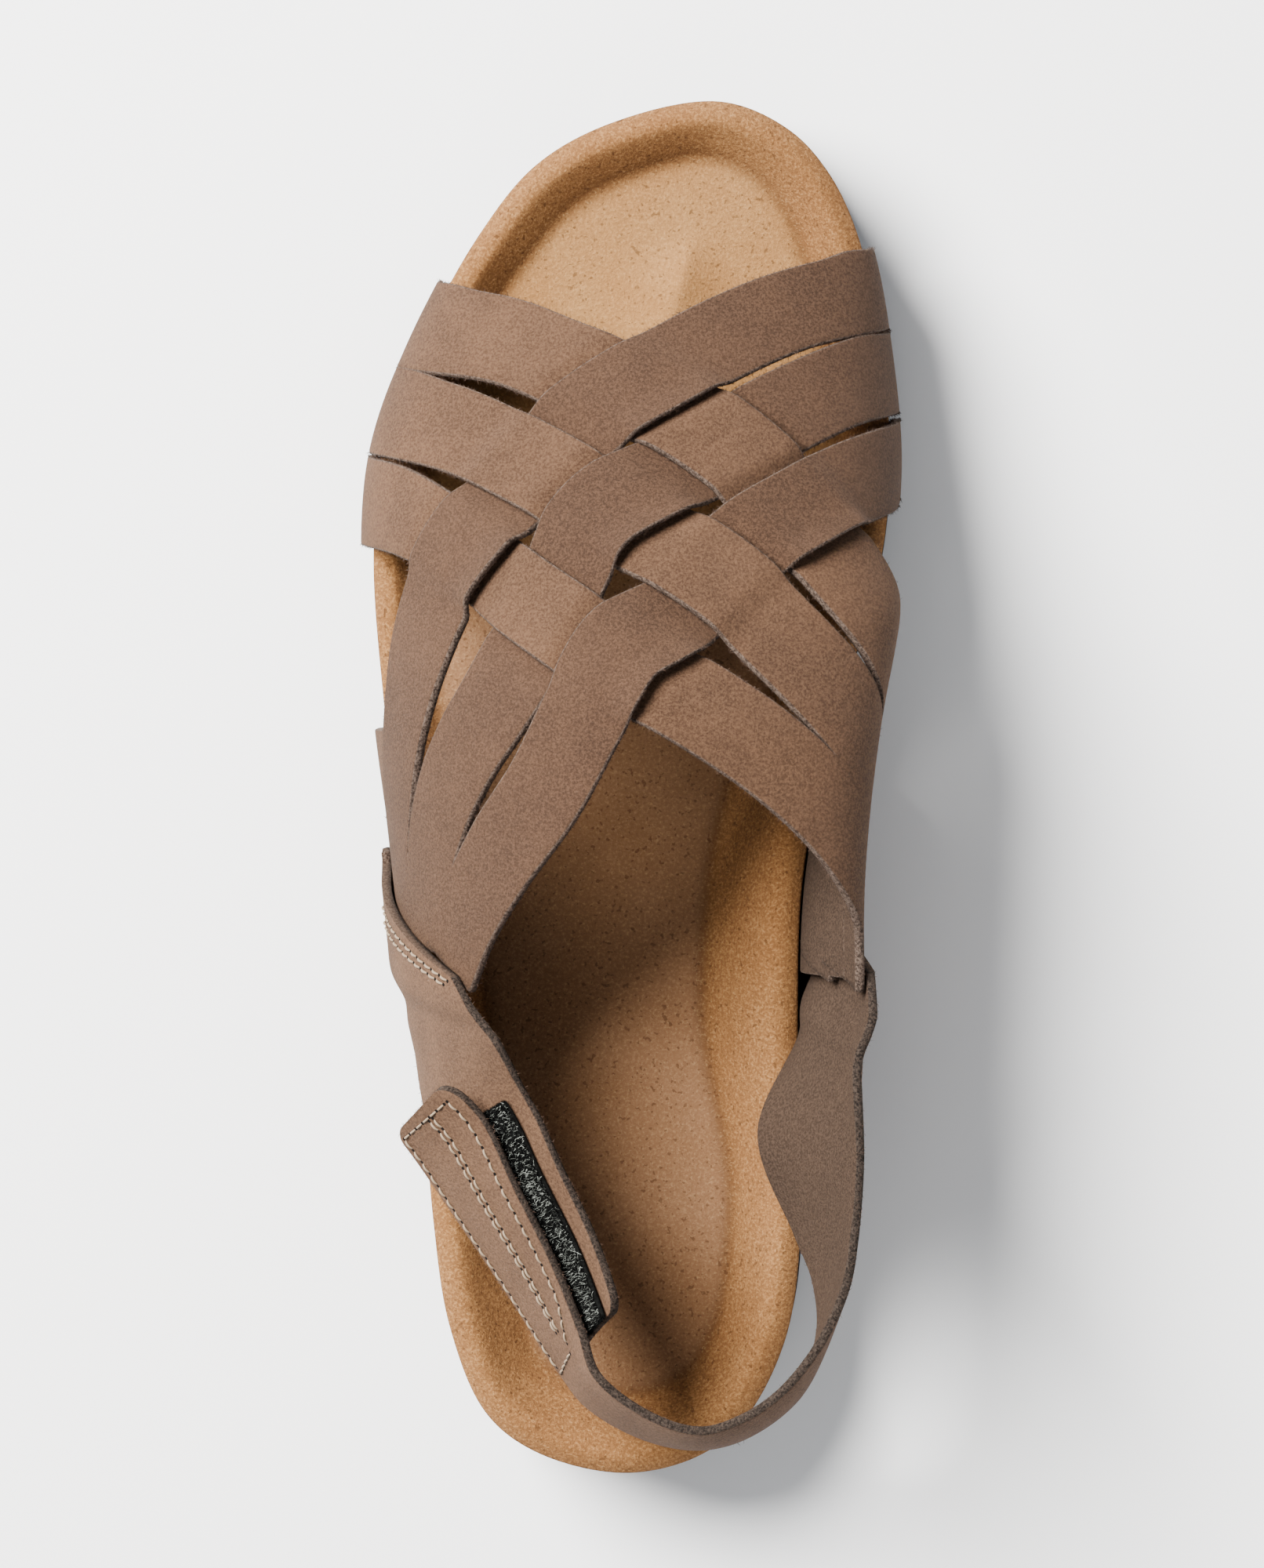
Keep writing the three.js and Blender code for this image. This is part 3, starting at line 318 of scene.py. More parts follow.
def section(along, side, arch=48, turn=8):
    """Foot form of one side at places along: crown to rim, side of the footbed, turn, tuck."""
    along = np.asarray(along, float)[:, None]
    edge = edge_across(along, side) + side * (FIT_GAP + LEATHER / 2)
    rim = rim_height(along, side)
    top = HEEL_RIM_HEIGHT + crown_rise(along) * (INSTEP_HEIGHT - HEEL_RIM_HEIGHT)
    middle = crown_across(along) * BALL_WIDTH
    lean = crown_lean(along) * BALL_WIDTH if side > 0 else 0 * along
    slope = crown_slope(along) if side < 0 else 1 + 0 * along
    angle = np.linspace(0, math.pi / 2, arch + 1)[None, :]
    across = middle + (edge - middle) * np.sin(angle) ** slope + lean * np.sin(2 * angle) ** 2
    height = rim + (top - rim) * np.cos(angle)
    tuck = ground_clearance(along) + OUTSOLE_THICKNESS + 2 * FIT_GAP + 1.5 * LEATHER
    angle = np.linspace(0, math.pi / 2, turn + 1)[None, :]
    turned = edge - side * TURN_RADIUS * (1 - np.cos(angle))
    across = np.concatenate([across, turned, edge - side * (TURN_RADIUS + TUCK_DEPTH)], axis=1)
    height = np.concatenate([height, tuck + TURN_RADIUS * (1 - np.sin(angle)), tuck + 0 * edge], axis=1)
    return np.stack([across, height], axis=-1), arch


# The foot form laid out flat: places along by girth, one table a side. The last cell that is read has a
# neighbour beyond it
FORM_ROWS = np.linspace(0.2, 1.0, 401)
FORM_STEP = 0.75
FORM_REACH = 180.0
LAST_CELL = 1.001


def form_table(side):
    points, arch = section(FORM_ROWS, side)
    steps = np.linalg.norm(np.diff(points, axis=1), axis=-1)
    far = np.concatenate([np.zeros((len(points), 1)), np.cumsum(steps, axis=1)], axis=1)
    downs = np.arange(0, FORM_REACH, FORM_STEP)
    table = np.array([picked(downs, *row) for row in zip(far, points)])
    return table, far[:, arch], far[:, -1]


form = {side: form_table(side) for side in (-1, 1)}
form_tables = np.stack([form[-1][0], form[1][0]])


def girth(along, side):
    return np.interp(along, FORM_ROWS, form[side][1])


def full_girth(along, side):
    return np.interp(along, FORM_ROWS, form[side][2])


def form_point(down, y):
    """Point of the foot form at a girth from the crown line and a place along, in millimetres."""
    down, y = np.broadcast_arrays(np.asarray(down, float), np.asarray(y, float))
    row = (y / FOOTBED_LENGTH - FORM_ROWS[0]) / (FORM_ROWS[1] - FORM_ROWS[0])
    row = np.clip(row, 0, len(FORM_ROWS) - LAST_CELL)
    r = row.astype(int)
    v = (row - r)[..., None]
    column = np.clip(np.abs(down) / FORM_STEP, 0, form_tables.shape[2] - LAST_CELL)
    c = column.astype(int)
    u = (column - c)[..., None]
    side = (down >= 0).astype(int)
    behind = form_tables[side, r, c] * (1 - u) + form_tables[side, r, c + 1] * u
    ahead = form_tables[side, r + 1, c] * (1 - u) + form_tables[side, r + 1, c + 1] * u
    here = behind * (1 - v) + ahead * v
    return np.stack([here[..., 0], y, here[..., 1]], axis=-1)


def form_normal(down, y, reach=1.6):
    along_down = form_point(down + reach, y) - form_point(down - reach, y)
    along_y = form_point(down, y + reach) - form_point(down, y - reach)
    return unit(np.cross(along_down, along_y))


def follow_rim(down, along, own_along, side):
    """Girth moved so that a strip's edges keep level with its middle line near the rim."""
    own = girth(own_along, side)
    near = smooth((np.abs(down) / own - 0.55) / 0.35)
    return down + side * near * (girth(along, side) - own)


def strip_line(strip, side, step=1.2):
    """Middle line of a strip on the flat foot form, from the sole tuck to its rear end."""
    sole, path = strip
    y = sole * FOOTBED_LENGTH
    rim = girth(sole, side)
    full = full_girth(sole, side)
    knots = np.array([(side * rim, y)] + [(d * BALL_WIDTH, a * FOOTBED_LENGTH) for d, a in path])
    dense = through(knots[:, None, :], np.linspace(0, 1, 40 * len(knots))[:, None])[:, 0]
    crown = spaced(dense, step)
    tuck = np.arange(full, rim + 0.5 * step, -0.7 * step)
    return np.concatenate([np.stack([side * tuck, 0 * tuck + y], axis=1), crown])


def strip_grid(line, side, width, columns):
    """Points on the flat foot form across a strip's middle line."""
    ahead = unit(np.gradient(line, axis=0))
    shift = np.reshape(width, (-1, 1)) * (np.linspace(0, 1, columns + 1) - 0.5)
    y = line[:, 1:] + ahead[:, :1] * shift
    down = line[:, :1] - ahead[:, 1:] * shift
    own = line[:, 1:] / FOOTBED_LENGTH
    followed = follow_rim(down, y / FOOTBED_LENGTH, own, side)
    return np.where(np.sign(line[:, :1]) == side, followed, down), y


def gap_to(down, y, line):
    """Distance of flat points to a line."""
    points = np.stack([down, y], axis=-1).reshape(-1, 1, 2)
    a = line[None, :-1]
    b = line[None, 1:]
    along = b - a
    share = np.clip(((points - a) * along).sum(-1) / np.maximum((along**2).sum(-1), 1e-9), 0, 1)
    near = np.linalg.norm(points - a - share[..., None] * along, axis=-1).min(axis=1)
    return near.reshape(down.shape)


lateral_lines = [strip_line(strip, -1) for strip in LATERAL_STRIPS]
medial_lines = [strip_line(strip, 1) for strip in MEDIAL_STRIPS]


def weave_rise(down, y, own_index, others, side):
    """1 where a strip crosses over another, -1 where it crosses under."""
    rise = np.zeros_like(down)
    for j, other in enumerate(others):
        over = 1 if ((own_index + j) % 2 == 0) == (side > 0) else -1
        gap = gap_to(down, y, other)
        rise += over * (1 - smooth((gap - WEAVE_FLAT) / WEAVE_TURN))
    return rise


# Mesh building
class Build:
    """Vertices, faces and one value per vertex for each named attribute, all in millimetres."""

    def __init__(self):
        self.points = []
        self.faces = []
        self.values = {}
        self.count = 0

    def add(self, points, faces, **values):
        points = np.asarray(points, float).reshape(-1, 3)
        self.points.append(points)
        self.faces.extend([tuple(int(i) + self.count for i in face) for face in faces])
        for name in sorted(set(self.values) | set(values)):
            filled = self.values.setdefault(name, [np.zeros(self.count)])
            here = values.get(name, 0.0)
            filled.append(np.broadcast_to(here, (len(points),)))
        self.count += len(points)


# The pieces are built in the outline's frame and moved into the part's, whose footbed is centred
insole_low, insole_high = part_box("insole")
own_middle = (outline_line[:, 0].min() + outline_line[:, 0].max()) / 2
shift_across = (insole_low.x + insole_high.x) / 2 / MM - own_middle
SHIFT = np.array([shift_across, insole_low.y / MM - heel_end[1], 0.0])


def linked(name, data):
    made = bpy.data.objects.new(name, data)
    bpy.context.scene.collection.objects.link(made)
    return made


def to_object(name, build, material, smooth_faces=True):
    mesh = bpy.data.meshes.new(name)
    points = (np.concatenate(build.points) + SHIFT) * MM
    mesh.from_pydata(points.tolist(), [], build.faces)
    for key, parts in build.values.items():
        layer = mesh.attributes.new(key, "FLOAT", "POINT")
        layer.data.foreach_set("value", np.concatenate(parts).astype(np.float32))
    mesh.polygons.foreach_set("use_smooth", [smooth_faces] * len(mesh.polygons))
    mesh.materials.append(material)
    mesh.update()
    return linked(name, mesh)


def ring_faces(rings, count):
    faces = []
    for r in range(rings - 1):
        for i in range(count):
            j = (i + 1) % count
            faces.append((r * count + i, r * count + j, (r + 1) * count + j, (r + 1) * count + i))
    return faces


# Leather between its faces, and where it is turned in. Rounding of its long edges
SHEET = 0.9 * LEATHER
TUCK_SHEET = 0.8 * LEATHER
EDGE_ROUND = 0.45

# Rawness of the points beside a long edge and of a sheet's two ends, and how the inner face's tone comes
# in round an edge
BESIDE_EDGE = 0.4
SHEET_END = 0.7
TURN_OF_TONE = [0.3, 0.5, 0.7]


def sheet(build, grid, normals, thickness, rise=0.0, **values):
    """Leather sheet round a grid of middle points, its long edges rounded."""
    rows, columns = grid.shape[:2]
    rise = np.broadcast_to(np.asarray(rise, float), (rows, columns))[..., None]
    middle = grid + normals * rise
    inward_first = unit(middle[:, 1] - middle[:, 0])
    inward_last = unit(middle[:, -2] - middle[:, -1])
    half = thickness / 2
    top = middle + normals * half
    low = middle - normals * half
    for face in (top, low):
        face[:, 0] += inward_first * EDGE_ROUND
        face[:, -1] += inward_last * EDGE_ROUND
    soft = 0.3 * EDGE_ROUND

    def edge(column, inward):
        base = middle[:, column]
        over = normals[:, column] * (half - soft)
        near = base + inward * soft
        return np.stack([near + over, base - inward * 0.04 * thickness, near - over], axis=1)

    first_edge = edge(0, inward_first)[:, ::-1]
    loop = np.concatenate([top, edge(-1, inward_last), low[:, ::-1], first_edge], axis=1)
    count = loop.shape[1]
    cut = np.concatenate([np.zeros(columns), np.ones(3), np.zeros(columns), np.ones(3)])
    cut[[0, columns - 1, columns + 3, 2 * columns + 2]] = BESIDE_EDGE
    cut = np.tile(cut, (rows, 1))
    cut[[0, -1]] = np.maximum(cut[[0, -1]], SHEET_END)
    inner = np.concatenate([np.zeros(columns), TURN_OF_TONE, np.ones(columns), TURN_OF_TONE[::-1]])
    faces = [(a, d, c, b) for a, b, c, d in ring_faces(rows, count)]
    for row, way in ((0, 1), (rows - 1, -1)):
        base = row * count
        for c in range(columns - 1):
            quad = [c, c + 1, 2 * columns + 1 - c, 2 * columns + 2 - c]
            faces.append(tuple(base + k for k in quad[::way]))
        for first in (columns - 1, 2 * columns + 2):
            fan = [base + (first + k) % count for k in range(5)]
            faces.append(tuple(fan[::way]))
    build.add(loop.reshape(-1, 3), faces, cut=cut.ravel(), inner=np.tile(inner, rows), **values)
    return [
        (middle[:, 0], -inward_first, normals[:, 0]),
        (middle[:, -1], -inward_last, normals[:, -1]),
        (middle[-1], unit(middle[-1] - middle[-2]), normals[-1]),
    ]


# Materials. The studio's light makes surfaces paler and flatter, which depth and punch even out
DEPTH = 0.4
PUNCH = 1.3


def linear(red, green, blue):
    """Surface colour from the 0 to 255 values that it shows in the light of the studio."""
    seen = np.array([red, green, blue]) / 255.0
    flat = np.where(seen <= 0.04045, seen / 12.92, ((seen + 0.055) / 1.055) ** 2.4)
    return (*(DEPTH * flat**PUNCH).tolist(), 1.0)


class Shader:
    """Short names for the nodes of one material."""

    def __init__(self, name, roughness, sheen=0.0):
        self.material = bpy.data.materials.new(name)
        self.material.use_nodes = True
        self.tree = self.material.node_tree
        self.base = self.tree.nodes["Principled BSDF"]
        self.fill(self.base, {"Roughness": roughness, "Specular IOR Level": 0.15, "Sheen Weight": sheen})
        self.fill(self.base, {"Sheen Roughness": 0.6, "Sheen Tint": (0.5, 0.33, 0.22, 1.0)})
        self.place = self.node("TexCoord", {}, "Object")

    def fill(self, node, inputs):
        """Puts numbers, colours or other nodes' outputs into a node's inputs."""
        for key, given in inputs.items():
            if isinstance(given, (int, float, tuple)):
                node.inputs[key].default_value = given
            else:
                self.tree.links.new(given, node.inputs[key])

    def node(self, kind, inputs, output, **settings):
        made = self.tree.nodes.new("ShaderNode" + kind)
        for key, given in settings.items():
            setattr(made, key, given)
        self.fill(made, inputs)
        return made.outputs[output]

    def noise(self, size_mm, detail, rough, spread=0.0):
        inputs = {"Vector": self.place, "Scale": 1.0 / (size_mm * MM), "Detail": detail}
        return self.node("TexNoise", {**inputs, "Roughness": rough, "Distortion": spread}, "Fac")

    def value(self, name):
        return self.node("Attribute", {}, "Fac", attribute_name=name)

    def between(self, source, low, high, first=0.0, last=1.0):
        inputs = {"Value": source, "From Min": low, "From Max": high, "To Min": first, "To Max": last}
        return self.node("MapRange", inputs, "Result", interpolation_type="SMOOTHSTEP")

    def times(self, a, b):
        return self.node("Math", {0: a, 1: b}, "Value", operation="MULTIPLY")

    def blend(self, share, first, second):
        return self.node("Mix", {0: share, 6: first, 7: second}, 2, data_type="RGBA")

    def tones(self, source, low, high, first, last):
        """Colour that goes from the first to the last as the source goes from low to high."""
        return self.blend(self.between(source, low, high), linear(*first), linear(*last))

    def colour(self, given):
        self.fill(self.base, {"Base Color": given})

    def bump(self, height, distance_mm, strength, under=None):
        inputs = {"Height": height, "Distance": distance_mm * MM, "Strength": strength}
        if under is not None:
            inputs["Normal"] = under
        normal = self.node("Bump", inputs, "Normal")
        self.fill(self.base, {"Normal": normal})
        return normal


def taupe_suede():
    s = Shader("taupe_suede", 0.95, 0.06)
    nap = s.noise(0.5, 6.0, 0.8)
    grain = s.noise(0.9, 5.0, 0.7)
    cloud = s.noise(16.0, 3.0, 0.6, 0.3)
    woven = s.tones(cloud, 0.32, 0.7, (130, 100, 79), (154, 120, 95))
    worn = s.tones(cloud, 0.32, 0.7, (146, 115, 93), (168, 135, 110))
    tone = s.blend(s.value("strap"), woven, worn)
    fleck = s.tones(nap, 0.4, 0.6, (88, 66, 51), (190, 155, 127))
    face = s.blend(0.42, tone, fleck)
    # Painted shade: the medial strips, which turn away from the light, are drawn darker and greyer
    grey = s.tones(nap, 0.38, 0.62, (84, 65, 53), (126, 99, 83))
    with_medial_shade = s.blend(s.value("grey"), face, grey)
    felt = s.tones(nap, 0.38, 0.62, (62, 50, 43), (118, 101, 89))
    reverse = s.blend(s.times(s.value("inner"), 0.85), with_medial_shade, felt)
    pit = s.between(grain, 0.56, 0.7)
    speckled = s.blend(s.times(pit, 0.2), reverse, linear(84, 62, 48))
    fresh = s.tones(nap, 0.4, 0.6, (92, 78, 70), (176, 156, 143))
    dyed = s.tones(nap, 0.4, 0.6, (52, 45, 42), (128, 114, 104))
    raw = s.blend(s.value("strap"), fresh, dyed)
    s.colour(s.blend(s.between(s.value("cut"), 0.35, 0.95), speckled, raw))
    first = s.bump(nap, 0.5, 1.0)
    second = s.bump(grain, 0.25, 0.5, first)
    s.bump(s.noise(7.0, 3.0, 0.5), 0.6, 0.35, second)
    return s.material


def footbed_suede():
    s = Shader("footbed_suede", 0.95, 0.04)
    nap = s.noise(0.55, 6.0, 0.75)
    grain = s.noise(1.2, 5.0, 0.7)
    cloud = s.noise(22.0, 3.0, 0.55, 0.2)
    toe = s.tones(cloud, 0.3, 0.7, (226, 176, 120), (236, 188, 132))
    worn = s.tones(cloud, 0.3, 0.7, (196, 155, 118), (207, 166, 130))
    floor = s.blend(s.value("front"), worn, toe)
    wall = s.tones(cloud, 0.3, 0.7, (210, 160, 108), (224, 174, 120))
    tone = s.blend(s.value("wall"), floor, wall)
    nap_share = s.between(s.value("wall"), 0.0, 1.0, 0.3, 0.6)
    fleck = s.times(s.between(nap, 0.6, 0.42), nap_share)
    shaded = s.blend(s.times(s.value("crease"), 0.5), tone, linear(116, 82, 52))
    rough = s.blend(fleck, shaded, linear(146, 102, 64))
    light = s.blend(s.times(s.between(nap, 0.54, 0.66), 0.4), rough, linear(240, 204, 156))
    pores = s.between(s.noise(0.9, 1.0, 0.5), 0.64, 0.7)
    pored = s.blend(s.times(pores, 0.5), light, linear(112, 76, 46))
    s.colour(s.blend(s.value("cut"), pored, linear(120, 84, 50)))
    first = s.bump(nap, 0.35, 0.9)
    s.bump(grain, 0.4, 0.6, first)
    return s.material


def dark_side():
    s = Shader("dark_side", 0.8, 0.1)
    nap = s.noise(0.8, 5.0, 0.65)
    s.colour(s.tones(nap, 0.35, 0.65, (58, 42, 33), (88, 66, 52)))
    s.bump(nap, 0.2, 0.7)
    return s.material


def dark_rubber():
    s = Shader("dark_rubber", 0.7)
    grain = s.noise(0.7, 3.0, 0.6)
    cloud = s.noise(18.0, 3.0, 0.6)
    s.colour(s.tones(cloud, 0.3, 0.7, (52, 40, 33), (64, 50, 42)))
    s.bump(grain, 0.08, 0.6)
    return s.material


def tape_pile():
    s = Shader("tape_pile", 1.0)
    nap = s.noise(0.8, 4.0, 0.7)
    s.colour(s.tones(nap, 0.4, 0.62, (9, 9, 9), (46, 48, 45)))
    s.bump(nap, 0.5, 0.9)
    return s.material


def plain(name, colour, roughness):
    s = Shader(name, roughness)
    s.colour(colour)
    return s.material


suede = taupe_suede()
tan = footbed_suede()
side_cover = dark_side()
rubber = dark_rubber()
pile = tape_pile()
thread = plain("thread", linear(206, 186, 162), 0.7)
# Dark discs for the needle holes: painted shade that stands in for the depth of each hole
hole_shade = plain("needle_hole_shade", linear(38, 28, 22), 1.0)
fibre = plain("fibre", linear(128, 108, 96), 1.0)
# Near-white fibres on the loop tape: painted glints of light on its black pile
tape_glint_fibre = plain("tape_glint_fibre", linear(225, 230, 222), 0.6)


# Sole. Its rings run from stations on the outline towards a spine on the middle line
STATION_COUNT = 420
SPINE_FROM = 0.14
SPINE_TO = 0.84

# Width in which the nap of the wall gives way to the floor's, and of the shade in the crease between them
WALL_FADE = 2.6
CREASE_WIDTH = 1.5

# Width over which the lateral half's heights pass into the medial half's at toe and heel
SIDE_FADE = 24.0

# Where the worn floor begins to give way to the fresh one under the toes, and the length that it takes
FRONT_FROM = 0.6
FRONT_FADE = 0.12

# The mound under the toes: its front and back end, half its width there, and its height
MOUND_FRONT = (0.075, 0.905)
MOUND_BACK = (-0.02, 0.76)
MOUND_WIDTHS = (3.0, 15.0)
MOUND_HEIGHT = 3.4

# Rounding of the wall at its top and foot, as shares of the wall
WALL_TOP_ROUND = 0.3
WALL_FOOT_ROUND = 0.14

# Rings of the footbed's cover: over the rim, down the wall and over the floor
RIM_RINGS = (0.0, 0.1, 0.25, 0.45, 0.7, 1.0)
WALL_RINGS = 12
FLOOR_RINGS = 25

# Outer edge of the cover from below: drop under the rim, inset, rawness
COVER_EDGE = ((3.0, 0.5, 0.8), (2.4, 0.05, 0.8), (1.2, 0.0, 0.8), (0.4, 0.0, 0.4))

# The core begins a gap above the rubber bottom and ends this deep under the rim
CORE_GAP = 0.1
COVER_DEPTH = 2.6

# Sides of the core and of the rubber bottom from below: share of the height, inset
CORE_SIDE = (
    (0.0, 2.0), (0.0, 0.6), (0.06, 0.2), (0.3, 0.1), (0.6, 0.15), (0.9, 0.25), (1.0, 0.9), (1.0, 4.0),
)
BOTTOM_SIDE = (
    (0.0, 2.2), (0.25, 0.7), (0.5, 0.2), (0.62, 0.0), (0.8, 0.0), (0.98, 0.1), (1.0, 0.5), (1.0, 6.0),
)


def stations():
    line = spaced(outline_line, walked(outline_line)[-1] / STATION_COUNT)[:-1]
    along = line[:, 1] / FOOTBED_LENGTH
    spine = np.clip(along, SPINE_FROM, SPINE_TO)
    middle = (edge_across(spine, 1) + edge_across(spine, -1)) / 2
    return line[:, :2], np.stack([middle, spine * FOOTBED_LENGTH], axis=1)


station_edge, station_spine = stations()
station_reach = np.linalg.norm(station_spine - station_edge, axis=1)
station_along = station_edge[:, 1] / FOOTBED_LENGTH


def side_share():
    """0 on the lateral edge and 1 on the medial one, eased round toe and heel."""
    offset = station_edge[:, 0] - (edge_across(station_along, 1) + edge_across(station_along, -1)) / 2
    return smooth(0.5 + offset / SIDE_FADE)


medial_share = side_share()
wall_width = BALL_WIDTH * mix(wall_lateral(station_along), wall_medial(station_along), medial_share)


def toe_mound(x, y):
    """Low mound under the toes: a soft tent that fans out backwards."""
    front = np.multiply(MOUND_FRONT, (BALL_WIDTH, FOOTBED_LENGTH))
    back = np.multiply(MOUND_BACK, (BALL_WIDTH, FOOTBED_LENGTH))
    axis = back - front
    share = ((x - front[0]) * axis[0] + (y - front[1]) * axis[1]) / (axis @ axis)
    away = ((x - front[0]) * axis[1] - (y - front[1]) * axis[0]) / np.linalg.norm(axis)
    width = mix(*MOUND_WIDTHS, np.clip(share, 0, 1.2))
    rise = smooth(share / 0.35 + 0.12) * (1 - smooth((share - 1.0) / 0.7))
    return MOUND_HEIGHT * rise * np.exp(-np.abs(away / width) ** 1.4)


def ramp(share, first, last):
    """0 to 1 in a straight slope that is rounded over its first and last share."""
    steep = 1 / (1 - (first + last) / 2)
    start = steep * np.minimum(share, first) ** 2 / (2 * first)
    straight = steep * (np.clip(share, first, 1 - last) - first)
    left = 1 - np.clip(share, 1 - last, 1)
    end = steep * (last**2 - left**2) / (2 * last)
    return start + straight + end


def footbed_height(inset, x, y):
    """Height of the footbed at points that lie inset from the stations."""
    rim = mix(rim_height(station_along, -1), rim_height(station_along, 1), medial_share)
    along = y / FOOTBED_LENGTH
    floor = ground_clearance(along) + HEEL_RIM_HEIGHT * floor_share(along) + toe_mound(x, y)
    shoulder = rim - RIM_ROUND * np.maximum(0, 1 - inset / RIM_WIDTH) ** 2
    share = np.clip((inset - 0.8 * RIM_WIDTH) / (wall_width + 0.2 * RIM_WIDTH), 0, 1)
    return mix(shoulder, floor, ramp(share, WALL_TOP_ROUND, WALL_FOOT_ROUND))


rim_line = footbed_height(0.0, station_edge[:, 0], station_edge[:, 1])


def ring_points(inset):
    share = (np.minimum(inset, station_reach) / station_reach)[:, None]
    return station_edge + (station_spine - station_edge) * share


def footbed_insets():
    rows = [t * RIM_WIDTH for t in RIM_RINGS]
    rows += [RIM_WIDTH + wall_width * t for t in np.linspace(0, 1, WALL_RINGS + 1)[1:]]
    foot = rows[-1]
    rows += [mix(foot, station_reach, t) for t in np.linspace(0, 1, FLOOR_RINGS + 1)[1:] ** 0.9]
    return rows


def ring_object(name, rings, material, **values):
    build = Build()
    build.add(np.concatenate(rings), ring_faces(len(rings), STATION_COUNT), **values)
    return to_object(name, build, material)


def footbed():
    rows = [(inset, rim_line - drop, cut) for drop, inset, cut in COVER_EDGE]
    for inset in footbed_insets():
        rows.append((inset, footbed_height(inset, *ring_points(inset).T), 0.0))
    rings = [np.column_stack([ring_points(inset), height]) for inset, height, cut in rows]
    past_wall = np.concatenate([inset - RIM_WIDTH - wall_width for inset, height, cut in rows])
    along = np.concatenate(rings)[:, 1] / FOOTBED_LENGTH
    made = ring_object(
        "footbed_cover",
        rings,
        tan,
        wall=1 - smooth(past_wall / WALL_FADE + 0.5),
        crease=np.exp(-((past_wall / CREASE_WIDTH) ** 2)),
        cut=np.repeat([cut for inset, height, cut in rows], STATION_COUNT),
        front=smooth((along - FRONT_FROM) / FRONT_FADE),
    )
    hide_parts("insole")
    return made


def core_and_bottom():
    """Dark side of the footbed and the rubber bottom."""
    low = ground_clearance(station_along) + OUTSOLE_THICKNESS + CORE_GAP
    high = rim_line - COVER_DEPTH
    rings = [np.column_stack([ring_points(inset), mix(low, high, share)]) for share, inset in CORE_SIDE]
    core = ring_object("footbed_core", rings, side_cover)
    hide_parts("midsole")

    rings = []
    for share, inset in ((0.0, station_reach), (0.0, 0.5 * station_reach), *BOTTOM_SIDE):
        flat = ring_points(inset)
        base = ground_clearance(flat[:, 1] / FOOTBED_LENGTH)
        rings.append(np.column_stack([flat, mix(base, base + OUTSOLE_THICKNESS, share)]))
    bottom = ring_object("rubber_bottom", rings, rubber)
    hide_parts("outsole")
    return [core, bottom]


# Upper: columns across a strip, a turned-in panel and a quarter, strength of the painted shade that darkens
# the medial strips, and how far the upper's own panels stand off the foot form
STRIP_COLUMNS = 14
PANEL_COLUMNS = 24
QUARTER_COLUMNS = 26
MEDIAL_PAINTED_SHADE = 0.5
VAMP_PANEL_REST = -0.1


def vamp_strips():
    build = Build()
    edges = []
    for side, lines, others in ((-1, lateral_lines, medial_lines), (1, medial_lines, lateral_lines)):
        for i, line in enumerate(lines):
            down, y = strip_grid(line, side, strip_width(line, side), STRIP_COLUMNS)
            over = weave_rise(down, y, i, others, side)
            rise = WEAVE_RISE * over
            if side > 0:
                across = np.linspace(0, 1, down.shape[1])
                curl = np.clip(1 - (1 - across) / CURL_SHARE, 0, 1) ** 2
                rise = rise + CURL_HEIGHT * curl * smooth(over)
            # Painted shade on the medial strips, which face away from the light
            grey = MEDIAL_PAINTED_SHADE if side > 0 else 0.0
            edges += sheet(build, form_point(down, y), form_normal(down, y), SHEET, rise, grey=grey)[:2]
    tuck_sheet(build, "vamp_lateral", VAMP_PANEL_REST)
    tuck_sheet(build, "vamp_medial", VAMP_PANEL_REST)
    made = to_object("vamp_weave", build, suede)
    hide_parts("vamp")
    return made, edges


def strip_width(line, side):
    """Width along a strip: the medial ones are narrower where they leave the sole."""
    if side < 0:
        return np.full(len(line), STRIP_WIDTH)
    on_side = np.abs(line[:, 0]) > girth(line[:, 1] / FOOTBED_LENGTH, side)
    far = walked(line)
    return mix(MEDIAL_SOLE_WIDTH, STRIP_WIDTH, smooth((far - far[on_side.sum() - 1]) / SOLE_TAPER))


def over_vamp(along, share):
    """Height of a quarter over the upper. Behind the upper's rear end it eases in against the footbed."""
    rear = mix(VAMP_REAR_LOW, VAMP_REAR_HIGH, share)
    eased = smooth((along - rear + EASE_LENGTH) / EASE_LENGTH)
    return mix(QUARTER_REST, LEATHER + FIT_GAP, eased)


def tuck_sheet(build, name, rise=None):
    """Panel that turns in under the footbed. Without a rise it lies over the upper, as a quarter does."""
    side, middle, width, top_share = TUCKS[name]
    downs = np.linspace(full_girth(middle, side), girth(middle, side) * top_share, 40)
    line = np.stack([side * downs, 0 * downs + middle * FOOTBED_LENGTH], axis=1)
    down, y = strip_grid(line, side, width * FOOTBED_LENGTH, PANEL_COLUMNS)
    if rise is None:
        rise = over_vamp(y / FOOTBED_LENGTH, 0.0)
    sheet(build, form_point(down, y), form_normal(down, y), TUCK_SHEET, rise)


def row_on_form(row, side):
    low_along, low_drop, high_along, high_girth = row
    share = np.linspace(0, 1, ROW_POINTS)
    low_down = side * (girth(low_along, side) + low_drop * HEEL_RIM_HEIGHT)
    down = mix(low_down, high_girth * BALL_WIDTH, share)
    y = mix(low_along, high_along, share) * FOOTBED_LENGTH
    return form_point(down, y) + form_normal(down, y) * over_vamp(y / FOOTBED_LENGTH, share)[:, None]


